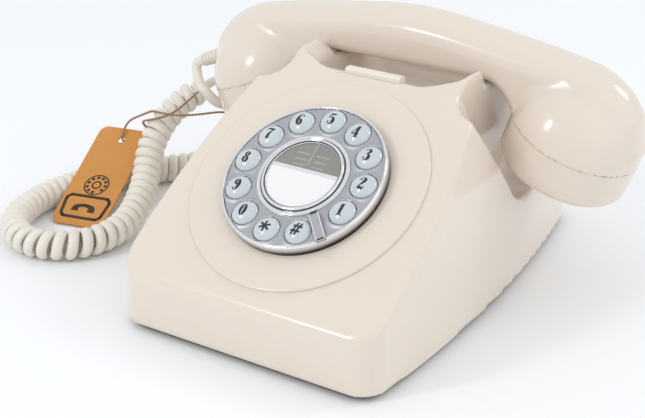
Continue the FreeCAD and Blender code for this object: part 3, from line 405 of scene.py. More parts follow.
@dataclass(frozen=True)
class DialChrome:
    """Polished chrome with painted reflection and shade: darker toward its foot and in the grooves of the
    centre ring. Sizes in mm.
    """

    seat: Matrix
    rim_arc: float
    # Colours of the painted reflection and shade up the rim's wall, from bright chrome down to black at its
    # foot.
    bright: Colour = (0.80, 0.80, 0.81)
    dull: Colour = (0.40, 0.40, 0.41)
    dark: Colour = (0.05, 0.05, 0.052)
    black: Colour = (0.02, 0.02, 0.022)
    shine_height: float = 8.0
    # Painted shade in the grooves of the centre ring: its colour, radii, half width and strength.
    groove_colour: Colour = (0.03, 0.03, 0.035)
    groove_arcs: tuple[float, ...] = (18.15, 20.05)
    groove_half: float = 0.28
    groove_share: float = 0.92

    def material(self) -> bpy.types.Material:
        """Build the material.

        Returns:
            The material.
        """
        paint = Paint("dial_chrome")
        centre, axis = self.seat.translation, self.seat.to_3x3() @ Vector((0, 0, 1))
        height = paint.along(axis, centre)
        settings = {"operation": "DISTANCE"}
        off = paint.node("ShaderNodeVectorMath", settings, paint.place(), tuple(centre), out="Value")
        radial = paint.node("ShaderNodeMath", {"operation": "SQRT"}, off * off - height * height)
        # Painted dark reflection and shade at the foot of the rim's wall, turning to bright chrome higher up.
        stops = [(0.0, self.black), (0.36, self.dark), (0.5, self.dull), (0.68, self.bright)]
        share = height * (1 / (self.shine_height * MM))
        wall = paint.node("ShaderNodeValToRGB", {"stops": stops}, share, out="Color")
        base = paint.mix(radial > (self.rim_arc - 1) * MM, self.bright, wall)
        # Painted shade in the grooves of the centre ring.
        for arc in self.groove_arcs:
            groove_shadow = (radial - arc * MM).size() < self.groove_half * MM
            base = paint.mix(groove_shadow * self.groove_share, base, self.groove_colour)
        paint.set(Base_Color=base, Metallic=1.0, Roughness=0.05 + paint.noise(90.0, 4.0) * 0.06)
        paint.bump(paint.noise(500.0, 2.0), 0.000004)
        return paint.material


@dataclass(frozen=True)
class LabelPrint:
    """Print of the centre label: grey over a pale strip and a white field, with plain marks. Sizes in mm."""

    seat: Matrix
    white: Colour = (0.86, 0.86, 0.86)
    grey: Colour = (0.24, 0.235, 0.215)
    strip: Colour = (0.70, 0.70, 0.70)
    light: Colour = (0.74, 0.74, 0.73)
    dot: Colour = (0.35, 0.35, 0.35)
    grey_from: float = 3.2
    strip_from: float = 1.2
    divider_place: float = -0.6
    divider_half: float = 0.15
    divider_from: float = 5.0
    row_from: float = 4.6
    row_gap: float = 1.6
    row_thick: float = 0.5
    words_low: float = 4.4
    words_high: float = 12.6
    words_in: float = 1.8
    words_out: float = 8.5
    dots_up: float = 2.2
    dots_half: float = 0.35
    dots_out: float = 11.0

    def material(self) -> bpy.types.Material:
        """Build the material.

        Returns:
            The material.
        """
        paint = Paint("centre_label_print")
        centre = self.seat.translation
        up = paint.along(self.seat.to_3x3() @ Vector((0, 1, 0)), centre)
        across = paint.along(Vector((1, 0, 0)), centre)
        grey = up > self.grey_from * MM
        strip = (up > self.strip_from * MM) * (1 - grey)
        beside = (across - self.divider_place * MM).size() < self.divider_half * MM
        divider = beside * grey * (up > self.divider_from * MM)
        speck = paint.noise(4200.0, 1.0) > 0.52
        settings = {"operation": "PINGPONG"}
        row = paint.node("ShaderNodeMath", settings, up - self.row_from * MM, self.row_gap * MM)
        columns = (across.size() < self.words_out * MM) * (across.size() > self.words_in * MM)
        lines = (row < self.row_thick * MM) * (up > self.words_low * MM) * (up < self.words_high * MM)
        words = lines * speck * columns
        marks = (up - self.dots_up * MM).size() < self.dots_half * MM
        dots = (paint.noise(3600.0, 1.0) > 0.5) * marks * (across.size() < self.dots_out * MM)
        field_tone = paint.mix(paint.noise(300.0), self.white, shade(self.white, 0.985))
        base = paint.mix(strip, field_tone, self.strip)
        base = paint.mix(grey, base, self.grey)
        base = paint.mix(words * 0.45 + divider * 0.6, base, self.light)
        base = paint.mix(dots * 0.25, base, self.dot)
        gloss = 0.22 + paint.noise(80.0) * 0.08
        paint.set(Base_Color=base, Roughness=gloss, Coat_Weight=0.6, Coat_Roughness=0.08)
        paint.bump(paint.noise(700.0), 0.000004)
        return paint.material


# ---- mesh making

ALL_SMOOTH = 180.0


def make_piece(name: str, verts: Points, faces: Iterable[Sequence[int]], finish: Finish,
               smooth: float = ALL_SMOOTH) -> bpy.types.Object:
    """Make a mesh piece at the origin.

    Args:
        name: The piece's name.
        verts: Corners, in metres.
        faces: Corner numbers of each face, seen from outside counter-clockwise.
        finish: Its finish.
        smooth: Edges sharper than this many degrees stay sharp.

    Returns:
        The object.
    """
    mesh = bpy.data.meshes.new(name)
    mesh.from_pydata([tuple(v) for v in verts], [], [tuple(f) for f in faces])
    mesh.update()
    return dress_mesh(name, mesh, finish, smooth)


def recoat(mesh: bpy.types.Mesh, material: bpy.types.Material) -> None:
    """Make a material a mesh's only one."""
    mesh.materials.clear()
    mesh.materials.append(material)


def dress_mesh(name: str, mesh: bpy.types.Mesh, finish: Finish,
               smooth: float = ALL_SMOOTH) -> bpy.types.Object:
    """Put a finished mesh into the scene with its finish and shading.

    Args:
        name: The piece's name.
        mesh: The mesh.
        finish: Its finish.
        smooth: Edges sharper than this many degrees stay sharp.

    Returns:
        The object.
    """
    recoat(mesh, finish.material())
    mesh.shade_smooth()
    if smooth < ALL_SMOOTH:
        mesh.set_sharp_from_angle(angle=math.radians(smooth))
    piece = bpy.data.objects.new(name, mesh)
    bpy.context.scene.collection.objects.link(piece)
    return piece


def plain_mesh(piece: bpy.types.Object) -> bpy.types.Mesh:
    """The piece's mesh with its modifiers applied."""
    graph = bpy.context.evaluated_depsgraph_get()
    return bpy.data.meshes.new_from_object(piece.evaluated_get(graph), depsgraph=graph)


def remove(*pieces: bpy.types.Object) -> None:
    """Delete helper objects."""
    for piece in pieces:
        bpy.data.objects.remove(piece)


class Recipe:
    """A Geometry Nodes tree with named inputs, applied to a mesh to make a plain piece."""

    def __init__(self, name: str, **inputs: float | int) -> None:
        """Start a tree.

        Args:
            name: The tree's name.
            inputs: Its named inputs and their values; an int makes a whole-number input.
        """
        self.tree = bpy.data.node_groups.new(name, "GeometryNodeTree")
        self.values: dict[str, float | int] = {}
        sockets = self.tree.interface
        sockets.new_socket("Geometry", in_out="INPUT", socket_type="NodeSocketGeometry")
        for label, value in inputs.items():
            kind = "NodeSocketInt" if isinstance(value, int) else "NodeSocketFloat"
            socket = sockets.new_socket(label, in_out="INPUT", socket_type=kind)
            self.values[socket.identifier] = value
        sockets.new_socket("Geometry", in_out="OUTPUT", socket_type="NodeSocketGeometry")
        self.source = self.tree.nodes.new("NodeGroupInput")

    def given(self, label: str) -> bpy.types.NodeSocket:
        """One of the tree's inputs."""
        return self.source.outputs[label]

    def node(self, kind: str, settings: dict | None = None, **inputs: object) -> bpy.types.NodeSocket:
        """Add a node.

        Args:
            kind: The node's type.
            settings: Properties, set before the sockets.
            inputs: Values or sockets by input name, underscores for spaces; a list links each in turn.

        Returns:
            Its first output.
        """
        node = self.tree.nodes.new(kind)
        for key, value in (settings or {}).items():
            setattr(node, key, value)
        for label, value in inputs.items():
            socket = node.inputs[label.replace("_", " ")]
            for one in value if isinstance(value, list) else [value]:
                if isinstance(one, bpy.types.NodeSocket):
                    self.tree.links.new(one, socket)
                else:
                    socket.default_value = one
        return node.outputs[0]

    def sum(self, operation: str, first: object, second: object) -> bpy.types.NodeSocket:
        """One Math node.

        Args:
            operation: The node's operation.
            first: A socket or a number.
            second: A socket or a number.

        Returns:
            Its output.
        """
        node = self.tree.nodes.new("ShaderNodeMath")
        node.operation = operation
        for socket, value in zip(node.inputs, (first, second)):
            if isinstance(value, bpy.types.NodeSocket):
                self.tree.links.new(value, socket)
            else:
                socket.default_value = value
        return node.outputs[0]

    def grow(self, name: str, start: bpy.types.Mesh, geometry: bpy.types.NodeSocket, finish: Finish,
             seat: Matrix | None = None, smooth: float = ALL_SMOOTH) -> bpy.types.Object:
        """End the tree with real geometry in a finish and apply it to a mesh.

        Args:
            name: The piece's name.
            start: The mesh the tree works on.
            geometry: What the tree has made.
            finish: Its finish.
            seat: Where the result's own axes stand, if not at the origin.
            smooth: Edges sharper than this many degrees stay sharp.

        Returns:
            The piece, a plain mesh.
        """
        real = self.node("GeometryNodeRealizeInstances", Geometry=geometry)
        painted = self.node("GeometryNodeSetMaterial", Geometry=real, Material=finish.material())
        result = self.tree.nodes.new("NodeGroupOutput")
        self.tree.links.new(painted, result.inputs["Geometry"])
        holder = bpy.data.objects.new(name, start)
        bpy.context.scene.collection.objects.link(holder)
        grown = holder.modifiers.new(self.tree.name, "NODES")
        grown.node_group = self.tree
        for identifier, value in self.values.items():
            grown[identifier] = value
        mesh = plain_mesh(holder)
        holder.modifiers.remove(grown)
        remove(holder)
        if seat is not None:
            mesh.transform(seat)
        return dress_mesh(name, mesh, finish, smooth)


def boolean(base: bpy.types.Object, tool: bpy.types.Object, operation: str) -> bpy.types.Object:
    """Join a tool to a base, or cut it away, and delete the tool.

    Args:
        base: The piece that is changed.
        tool: The closed piece that is joined or cut away.
        operation: UNION or DIFFERENCE.

    Returns:
        The base.
    """
    cut = base.modifiers.new("cut", "BOOLEAN")
    cut.operation = operation
    cut.solver = "MANIFOLD"
    cut.object = tool
    mesh = plain_mesh(base)
    base.modifiers.clear()
    base.data = mesh
    remove(tool)
    return base


def lathe(profile: Sequence[tuple[float, float]], turns: int, seat: Matrix) -> tuple[Points, list]:
    """Turn a closed outline of (radius, height) about the seat's axis.

    Args:
        profile: Outline in metres, counter-clockwise with the radius to the right; a radius of 0 is a pole.
        turns: Steps round the axis.
        seat: Where the axis stands.

    Returns:
        Corners and faces.
    """
    verts: list[Vector] = []
    rings: list[list[int]] = []
    for radius, height in profile:
        count = 1 if radius < TINY else turns
        start = len(verts)
        for i in range(count):
            angle = 2 * math.pi * i / turns
            verts.append(seat @ Vector((radius * math.cos(angle), radius * math.sin(angle), height)))
        rings.append([start + i % count for i in range(turns)])
    faces = []
    for a, b in zip(rings, rings[1:] + rings[:1]):
        for i in range(turns):
            j = (i + 1) % turns
            face = list(dict.fromkeys((a[i], a[j], b[j], b[i])))
            if len(face) > 2:
                faces.append(face)
    return np.array(verts), faces


def rounded(points: Sequence[tuple[float, float, float]], closed: bool = True, steps: int = 5) -> np.ndarray:
    """Outline of (u, v, radius) corners with each corner turned into an arc.

    Args:
        points: Corners and their radii.
        closed: Whether the last corner joins the first.
        steps: Pieces of an arc.

    Returns:
        Points of the outline.
    """
    result = []
    count = len(points)
    for i, (u, v, radius) in enumerate(points):
        corner = np.array((u, v))
        if radius <= 0 or (not closed and i in (0, count - 1)):
            result.append(corner)
            continue
        before = np.array(points[i - 1][:2]) - corner
        after = np.array(points[(i + 1) % count][:2]) - corner
        before = before / np.linalg.norm(before)
        after = after / np.linalg.norm(after)
        half = math.acos(np.clip(before @ after, -1, 1)) / 2
        bisector = before + after
        centre = corner + bisector / np.linalg.norm(bisector) * radius / math.sin(half)
        reach = radius / math.tan(half)
        first = corner + before * reach - centre
        last = corner + after * reach - centre
        start = math.atan2(first[1], first[0])
        sweep = (math.atan2(last[1], last[0]) - start + math.pi) % (2 * math.pi) - math.pi
        for k in range(steps + 1):
            angle = start + sweep * k / steps
            result.append(centre + radius * np.array((math.cos(angle), math.sin(angle))))
    return np.array(result)


def tubes_along(name: str, lines: Sequence[Points], outward: Sequence[Points], thick: float, wide: float,
                sides: int, finish: Finish) -> bpy.types.Object:
    """Closed tubes along lines of points, as one piece.

    Args:
        name: The piece's name.
        lines: Centre points of each tube, in metres.
        outward: For each line, the direction at each point that the tube's thickness keeps to.
        thick: Size of the section along that direction.
        wide: Size of the section across it.
        sides: Corners of the section.
        finish: The finish.

    Returns:
        The piece.
    """
    recipe = Recipe("tube_along_line", Thickness=float(thick), Width=float(wide), Sides=sides)
    line = recipe.node("GeometryNodeMeshToCurve", Mesh=recipe.given("Geometry"))
    keep = recipe.node("GeometryNodeInputNamedAttribute", {"data_type": "FLOAT_VECTOR"}, Name="outward")
    line = recipe.node("GeometryNodeSetCurveNormal", {"mode": "FREE"}, Curve=line, Normal=keep)
    ring = recipe.node("GeometryNodeCurvePrimitiveCircle", Resolution=recipe.given("Sides"), Radius=0.5)
    scale = recipe.node("ShaderNodeCombineXYZ", X=recipe.given("Thickness"), Y=recipe.given("Width"), Z=1.0)
    ring = recipe.node("GeometryNodeTransform", Geometry=ring, Scale=scale)
    tube = recipe.node("GeometryNodeCurveToMesh", Curve=line, Profile_Curve=ring, Fill_Caps=True)
    edges: list[tuple[int, int]] = []
    first = 0
    for points in lines:
        edges += [(first + i, first + i + 1) for i in range(len(points) - 1)]
        first += len(points)
    mesh = bpy.data.meshes.new(name)
    mesh.from_pydata(np.vstack(lines).tolist(), edges, [])
    mark = mesh.attributes.new("outward", "FLOAT_VECTOR", "POINT")
    mark.data.foreach_set("vector", np.vstack(outward).ravel())
    return recipe.grow(name, mesh, tube, finish)


# ---- smooth forms


def round_meet(a: np.ndarray, b: np.ndarray, radius: float) -> np.ndarray:
    """Where two distances are both inside, with the edge between them rounded."""
    u, v = np.maximum(a + radius, 0), np.maximum(b + radius, 0)
    return np.minimum(np.maximum(a, b), -radius) + np.hypot(u, v)


def round_join(a: np.ndarray, b: np.ndarray, radius: float) -> np.ndarray:
    """Where either distance is inside, with the corner between them filled by an arc."""
    return -round_meet(-a, -b, radius)


def outline_distance(u: np.ndarray, v: np.ndarray, outline: np.ndarray) -> np.ndarray:
    """Distance of places to a closed outline.

    Args:
        u: First coordinates of the places.
        v: Second coordinates of the places.
        outline: Corners of the outline in order.

    Returns:
        Distances, less than 0 inside the outline.
    """
    best = np.full(u.shape, 1e9)
    inside = np.zeros(u.shape, bool)
    for (au, av), (bu, bv) in zip(outline, np.roll(outline, -1, axis=0)):
        eu, ev = bu - au, bv - av
        long = eu * eu + ev * ev
        if long < TINY**2:
            continue
        share = np.clip(((u - au) * eu + (v - av) * ev) / long, 0, 1)
        best = np.minimum(best, (u - au - share * eu) ** 2 + (v - av - share * ev) ** 2)
        if av != bv:
            crosses = ((av > v) != (bv > v)) & (u < au + (v - av) * eu / (bv - av))
            inside ^= crosses
    return np.where(inside, -1.0, 1.0) * np.sqrt(best)


def net_values(distance: Distance, low: np.ndarray, counts: np.ndarray, cell: float) -> np.ndarray:
    """Distances at grid points, worked out fully only in blocks near the surface.

    Args:
        distance: Signed distance of points in metres.
        low: Lowest corner of the grid.
        counts: Number of grid points along each axis.
        cell: Step of the grid.

    Returns:
        Grid of distances, the same within each block that is far from the surface.
    """
    block = 4
    near_share = 1.7
    blocks = -(-counts // block)
    where = np.stack(np.meshgrid(*[np.arange(n) for n in blocks], indexing="ij"), -1).reshape(-1, 3)
    middle = low + (where * block + (block - 1) / 2) * cell
    rough = distance(middle)
    values = np.repeat(np.repeat(np.repeat(rough.reshape(blocks), block, 0), block, 1), block, 2)
    near = where[np.abs(rough) < block * cell * near_share]
    local = np.stack(np.meshgrid(*[np.arange(block)] * 3, indexing="ij"), -1).reshape(-1, 3)
    index = (near[:, None, :] * block + local[None]).reshape(-1, 3)
    values[index[:, 0], index[:, 1], index[:, 2]] = distance(low + index * cell)
    return values[: counts[0], : counts[1], : counts[2]]


def surface_net(distance: Distance, low: Sequence[float], high: Sequence[float],
                cell: float) -> tuple[Points, list]:
    """Closed mesh of quads on the surface where a distance is zero.

    Args:
        distance: Signed distance of points in metres, less than 0 inside.
        low: Lowest corner of the room it fills.
        high: Highest corner.
        cell: Size of a cell.

    Returns:
        Corners and faces.
    """
    low = np.array(low, float)
    counts = np.ceil((np.array(high) - low) / cell).astype(int) + 1
    values = net_values(distance, low, counts, cell)
    inside = values < 0
    shape = counts - 1
    corners = [np.array((i, j, k)) for i in (0, 1) for j in (0, 1) for k in (0, 1)]

    def window(grid: np.ndarray, offset: np.ndarray) -> np.ndarray:
        """The grid's cells, seen from one of their corners."""
        return grid[tuple(slice(o, o + n) for o, n in zip(offset, shape))]

    total = sum(window(inside, c).astype(int) for c in corners)
    active = np.argwhere((total > 0) & (total < 8))
    number = np.full(shape, -1)
    number[tuple(active.T)] = np.arange(len(active))
    place = np.zeros((len(active), 3))
    weight = np.zeros(len(active))
    for a in corners:
        for axis in range(3):
            if a[axis]:
                continue
            b = a + np.eye(3, dtype=int)[axis]
            va = values[tuple((active + a).T)]
            vb = values[tuple((active + b).T)]
            crossed = (va < 0) != (vb < 0)
            share = np.where(crossed, va / np.where(crossed, va - vb, 1), 0)
            place += crossed[:, None] * (a + share[:, None] * (b - a))
            weight += crossed
    verts = settle(distance, low + (active + place / weight[:, None]) * cell, cell)
    faces = []
    for axis in range(3):
        u, v = (axis + 1) % 3, (axis + 2) % 3
        step = np.eye(3, dtype=int)
        here = inside[tuple(slice(0, n - 1) if k == axis else slice(1, n - 1) for k, n in enumerate(counts))]
        there = inside[tuple(slice(1, n) if k == axis else slice(1, n - 1) for k, n in enumerate(counts))]
        edges = np.argwhere(here != there)
        outward = here[tuple(edges.T)]
        edges = edges + step[u] + step[v]
        ring = [number[tuple((edges - o).T)] for o in (step[u] + step[v], step[v], 0 * step[u], step[u])]
        quads = np.stack(ring, 1)
        quads[~outward] = quads[~outward][:, ::-1]
        faces.extend(quads.tolist())
    return verts, faces


def settle(distance: Distance, verts: Points, cell: float) -> Points:
    """Move points onto the surface along its slope, leaving any that would go further than a cell.

    Args:
        distance: Signed distance of points in metres.
        verts: The points.
        cell: Size of a cell of the net.

    Returns:
        The moved points.
    """
    nudge = cell * 0.05
    least_slope = 0.5
    start = verts
    for _ in range(3):
        value = distance(verts)
        sides = [distance(verts + d) - distance(verts - d) for d in np.eye(3) * nudge]
        slope = np.stack([side / (2 * nudge) for side in sides], 1)
        step = value / np.maximum((slope**2).sum(1), least_slope**2)
        verts = verts - slope * np.clip(step, -cell, cell)[:, None]
    strayed = np.linalg.norm(verts - start, axis=1) > cell
    return np.where(strayed[:, None], start, verts)


# ---- the casing


@dataclass
class Casing:
    """Moulded body: bowed sides, sloping face, cradle horns, side wells and finger trough. Sizes in mm."""

    depth: float = 238.0
    half_width: float = 70.2
    side_arc: float = 800.0
    widest_back: float = 50.0
    lean_arc: float = 250.0
    front_corner: float = 13.75
    rear_corner: float = 18.0
    bottom: float = 3.1
    skirt: float = 29.08
    crease_arc: float = 9.0
    face_angle: float = 34.22
    wall: float = 2.6
    horn_top: float = 113.5
    horn_arc: float = 2.3
    cradle_back: float = 152.0
    seat_height: float = 100.5
    seat_half: float = 15.4
    horn_run: float = 5.2
    plunger_half: float = 13.6
    rear_horn_half: float = 31.0
    rear_skirt: float = 26.0
    well_inner: float = 46.5
    well_angle: float = 37.2
    well_apex: float = 27.4
    well_arc: float = 23.0
    well_corner: float = 15.0
    trough_half: float = 33.0
    trough_mouth: float = 37.0
    trough_flare: float = 50.0
    trough_floor: float = 81.0
    trough_front: float = 22.8
    trough_swing: float = 0.4
    trough_corner: float = 30.0
    trough_reach: float = 60.0
    face_length: float = 132.4
    lip_depth: float = 8.5
    lip_drop: float = 3.0
    disc_arc: float = 57.6
    disc_rise: float = 1.3
    dial_up: float = 67.8
    dial_hole: float = 36.5
    edge: float = 2.2
    lip_edge: float = 3.0
    cell: float = 1.5
    buried: float = 30.0
    open_top: float = 170.0
    horn_ease: float = 1.5
    seat_corner: float = 4.0
    trough_step: float = 3.0
    trough_foot_arc: float = 10.0
    trough_far_lean: float = 12.0
    trough_bed_arc: float = 14.0
    trough_mouth_arc: float = 8.0
    trough_over_seat: float = 2.0
    trough_past: float = 20.0
    trough_fillet: float = 4.0
    trough_plan_fillet: float = 1.5
    bottom_edge: float = 0.4
    gap: float = 0.25
    recall_half: float = 15.0
    recall_deep: float = 5.6
    plunger_out: float = 0.6
    plunger_side: float = 1.0
    turns: int = 160
    hole_turns: int = 128

    def back(self, distance: float) -> float:
        """Y of a place given behind the front face."""
        return distance - self.depth / 2

    def face(self, up: float, proud: float) -> tuple[float, float]:
        """Place on the sloping face.

        Args:
            up: Distance up the face from its foot.
            proud: Height over the face.

        Returns:
            Its Y and Z.
        """
        slope = math.radians(self.face_angle)
        y = self.back(up * math.cos(slope) - proud * math.sin(slope))
        return y, self.skirt + up * math.sin(slope) + proud * math.cos(slope)

    def dial_seat(self, up: float | None = None, across: float = 0.0) -> Matrix:
        """Seat on the face, its Z the face's outward normal.

        Args:
            up: Distance up the face, the dial's middle if none is given.
            across: Distance to the right.

        Returns:
            The seat, in metres.
        """
        y, z = self.face(self.dial_up if up is None else up, 0)
        turn = Matrix.Rotation(math.radians(self.face_angle), 4, "X")
        return Matrix.Translation(Vector((across, y, z)) * MM) @ turn

    def side_outline(self) -> np.ndarray:
        """Side view of the casing as (y, z).

        Returns:
            Points of the outline.
        """
        slope = math.radians(self.face_angle)
        horn_front = self.back((self.horn_top - self.skirt) / math.tan(slope))
        cradle = self.back(self.cradle_back)
        half = self.seat_half
        horn, arc = self.horn_top, self.horn_arc
        front, rear = self.back(0), self.back(self.depth)
        return rounded(
            [
                (front, -self.buried, 0),
                (front, self.skirt, self.crease_arc),
                (horn_front, horn, arc + self.horn_ease),
                (cradle - half - self.horn_run, horn, arc),
                (cradle - half, self.seat_height, self.seat_corner),
                (cradle + half, self.seat_height, self.seat_corner),
                (cradle + half + self.horn_run, horn, arc),
                (cradle + self.rear_horn_half, horn, arc + self.horn_ease),
                (rear, self.rear_skirt, self.crease_arc),
                (rear, -self.buried, 0),
            ]
        )

    def well_outline(self) -> np.ndarray:
        """Side view of the well's mouth as (y, z).

        Returns:
            Points of the outline.
        """
        cradle, top = self.back(self.cradle_back), self.open_top
        reach = (top - self.well_apex) * math.tan(math.radians(self.well_angle))
        apex = (cradle, self.well_apex, self.well_arc)
        return rounded([(cradle - reach, top, 0), apex, (cradle + reach, top, 0)], steps=10)

    def trough_outlines(self) -> tuple[np.ndarray, np.ndarray, np.ndarray]:
        """Side, front and top views of the finger trough.

        Returns:
            Points of the three outlines: (y, z), (x, z) and (x, y).
        """
        lip, lip_top = self.face(self.face_length, 0)
        top, floor = self.open_top, self.trough_floor
        wall = lip + self.lip_depth
        low = lip_top - self.lip_drop
        far = 2 * self.back(self.cradle_back) - wall
        step, foot = self.trough_step, self.trough_foot_arc
        side = [(lip, top, 0), (lip, lip_top, 0), (wall, low, step), (wall + step, floor, foot)]
        side += [(far - step, floor, foot), (far, low, step), (far + self.trough_far_lean, top, 0)]
        flare = self.trough_flare
        bed = (self.trough_half, floor, self.trough_bed_arc)
        mouth = (self.trough_mouth, self.seat_height + self.trough_over_seat, self.trough_mouth_arc)
        right = [bed, mouth, (flare, self.horn_top, 0), (flare, top, 0)]
        left = [(-u, v, r) for u, v, r in reversed(right)]
        reach, past = self.trough_reach, far + self.trough_past
        swept = lip + (self.trough_reach - self.trough_front) * self.trough_swing
        front, corner = self.trough_front, self.trough_corner
        plan = [(reach, past, 0), (-reach, past, 0), (-reach, swept, 0), (-front, lip, corner)]
        plan += [(front, lip, corner), (reach, swept, 0)]
        return rounded(side), rounded(right + left), rounded(plan, steps=8)

    def outer(self) -> Distance:
        """Distance to the outside of the casing, in mm.

        Returns:
            The distance as a function of points.
        """
        side, well = self.side_outline(), self.well_outline()
        trough_side, trough_front, trough_plan = self.trough_outlines()
        off = self.side_arc - self.half_width

        def distance(p: np.ndarray) -> np.ndarray:
            """Distance of points in mm.

            Args:
                p: Points in mm.

            Returns:
                Distances in mm, less than 0 inside.
            """
            x, y, z = np.abs(p[:, 0]), p[:, 1], p[:, 2]
            rise = np.clip(z - self.skirt, 0, 120)
            lean = self.lean_arc - np.sqrt(self.lean_arc**2 - rise**2)
            steep = rise / np.sqrt(self.lean_arc**2 - rise**2)
            flank = np.hypot(x + off, y - self.back(self.widest_back)) - self.side_arc + lean
            flank = flank / np.hypot(1, steep)
            plan = round_meet(flank, self.back(0) - y, self.front_corner)
            plan = round_meet(plan, y - self.back(self.depth), self.rear_corner)
            body = round_meet(plan, outline_distance(y, z, side), self.edge)
            well_gap = round_meet(outline_distance(y, z, well), self.well_inner - x, self.well_corner)
            body = round_meet(body, -well_gap, self.edge)
            front_gap = outline_distance(p[:, 0], z, trough_front)
            gap = round_meet(outline_distance(y, z, trough_side), front_gap, self.trough_fillet)
            gap = round_meet(gap, outline_distance(p[:, 0], y, trough_plan), self.trough_plan_fillet)
            return round_meet(body, -gap, self.lip_edge)

        return distance

    def shell(self) -> Distance:
        """Distance to the hollow casing, in mm.

        Returns:
            The distance as a function of points.
        """
        outer = self.outer()

        def distance(p: np.ndarray) -> np.ndarray:
            """Distance of points in mm.

            Args:
                p: Points in mm.

            Returns:
                Distances in mm, less than 0 inside.
            """
            value = outer(p)
            walls = np.maximum(value, -value - self.wall)
            return round_meet(walls, self.bottom - p[:, 2], self.bottom_edge)

        return distance

    def build(self) -> bpy.types.Object:
        """Build the casing with its disc, openings and finish.

        Returns:
            The casing.
        """
        shell = self.shell()
        low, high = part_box("housing")
        pad = Vector((0.004, 0.004, 0.004))
        verts, faces = surface_net(lambda p: shell(p / MM) * MM, low - pad, high + pad, self.cell * MM)
        casing = make_piece("casing", verts, faces, Finish.IVORY)
        seat = self.dial_seat()
        rise = self.disc_rise
        rim = rounded([(0, -1.5, 0), (self.disc_arc, -1.5, 0), (self.disc_arc, rise, 0.7), (0, rise, 0)])
        disc = make_piece("disc", *lathe(rim * MM, self.turns, seat), Finish.IVORY)
        boolean(casing, disc, "UNION")
        hole = rounded([(0, -20, 0), (self.dial_hole, -20, 0), (self.dial_hole, 6, 0), (0, 6, 0)])
        opening = make_piece("hole", *lathe(hole * MM, self.hole_turns, seat), Finish.IVORY)
        boolean(casing, opening, "DIFFERENCE")
        for window in self.windows():
            boolean(casing, window, "DIFFERENCE")
        mesh = casing.data
        remove(casing)
        casing = dress_mesh("casing", mesh, Finish.IVORY, smooth=42.0)
        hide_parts("housing")
        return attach(casing, "base")

    def windows(self) -> list[bpy.types.Object]:
        """Blocks that open the recall slot, the plunger slots and the rear windows.

        Returns:
            The blocks.
        """
        gap, wide = self.gap, self.recall_half
        lip_y, lip_z = self.face(self.face_length, 0)
        behind = lip_y + self.recall_deep + gap
        rooms = [((-wide - gap, lip_y - gap, lip_z - 20), (wide + gap, behind, lip_z + 10))]
        cradle, seat = self.back(self.cradle_back), self.seat_height
        middle = (self.trough_mouth + self.well_inner) / 2 + self.plunger_out
        half = self.plunger_half + gap
        side = self.plunger_side
        for x in (middle, -middle):
            low = (x - side - gap, cradle - half, seat - 8)
            rooms.append((low, (x + side + gap, cradle + half, seat + 4)))
        rear = self.back(self.depth)
        inside, outside = rear - 8, rear + 4
        socket = (-30.6, inside, 7), (-17.4, outside, 17)
        ringer = (16.0, inside, 9), (32.0, outside, 14)
        rooms += [socket, ringer]
        return [make_piece("room", *boxes_mesh([room]), Finish.IVORY) for room in rooms]


def seated(verts: Points, seat: Matrix) -> Points:
    """Points moved from a seat's own axes to the model's."""
    world = np.array(seat)
    return verts @ world[:3, :3].T + world[:3, 3]


def boxes_mesh(boxes: Sequence[tuple[Sequence[float], Sequence[float]]]) -> tuple[Points, list]:
    """Corners, in metres, and faces of boxes between pairs of corners in mm.

    Args:
        boxes: Lowest and highest corner of each.

    Returns:
        Corners and faces.
    """
    verts, faces = [], []
    for low, high in boxes:
        n = len(verts)
        verts += [(x, y, z) for z in (low[2], high[2]) for y in (low[1], high[1]) for x in (low[0], high[0])]
        sides = [(0, 2, 3, 1), (4, 5, 7, 6), (0, 1, 5, 4), (2, 6, 7, 3), (0, 4, 6, 2), (1, 3, 7, 5)]
        faces += [tuple(n + k for k in side) for side in sides]
    return np.array(verts) * MM, faces


# ---- the handset


# Fall of the handle's top beyond the middle of a cup: distance outward and drop, in mm.
ARCH_FALL = [(1.0, 11.7), (9.5, 14.1), (16.0, 17.4), (22.7, 22.1), (28.0, 28.3), (32.0, 35.2), (33.5, 46.0)]


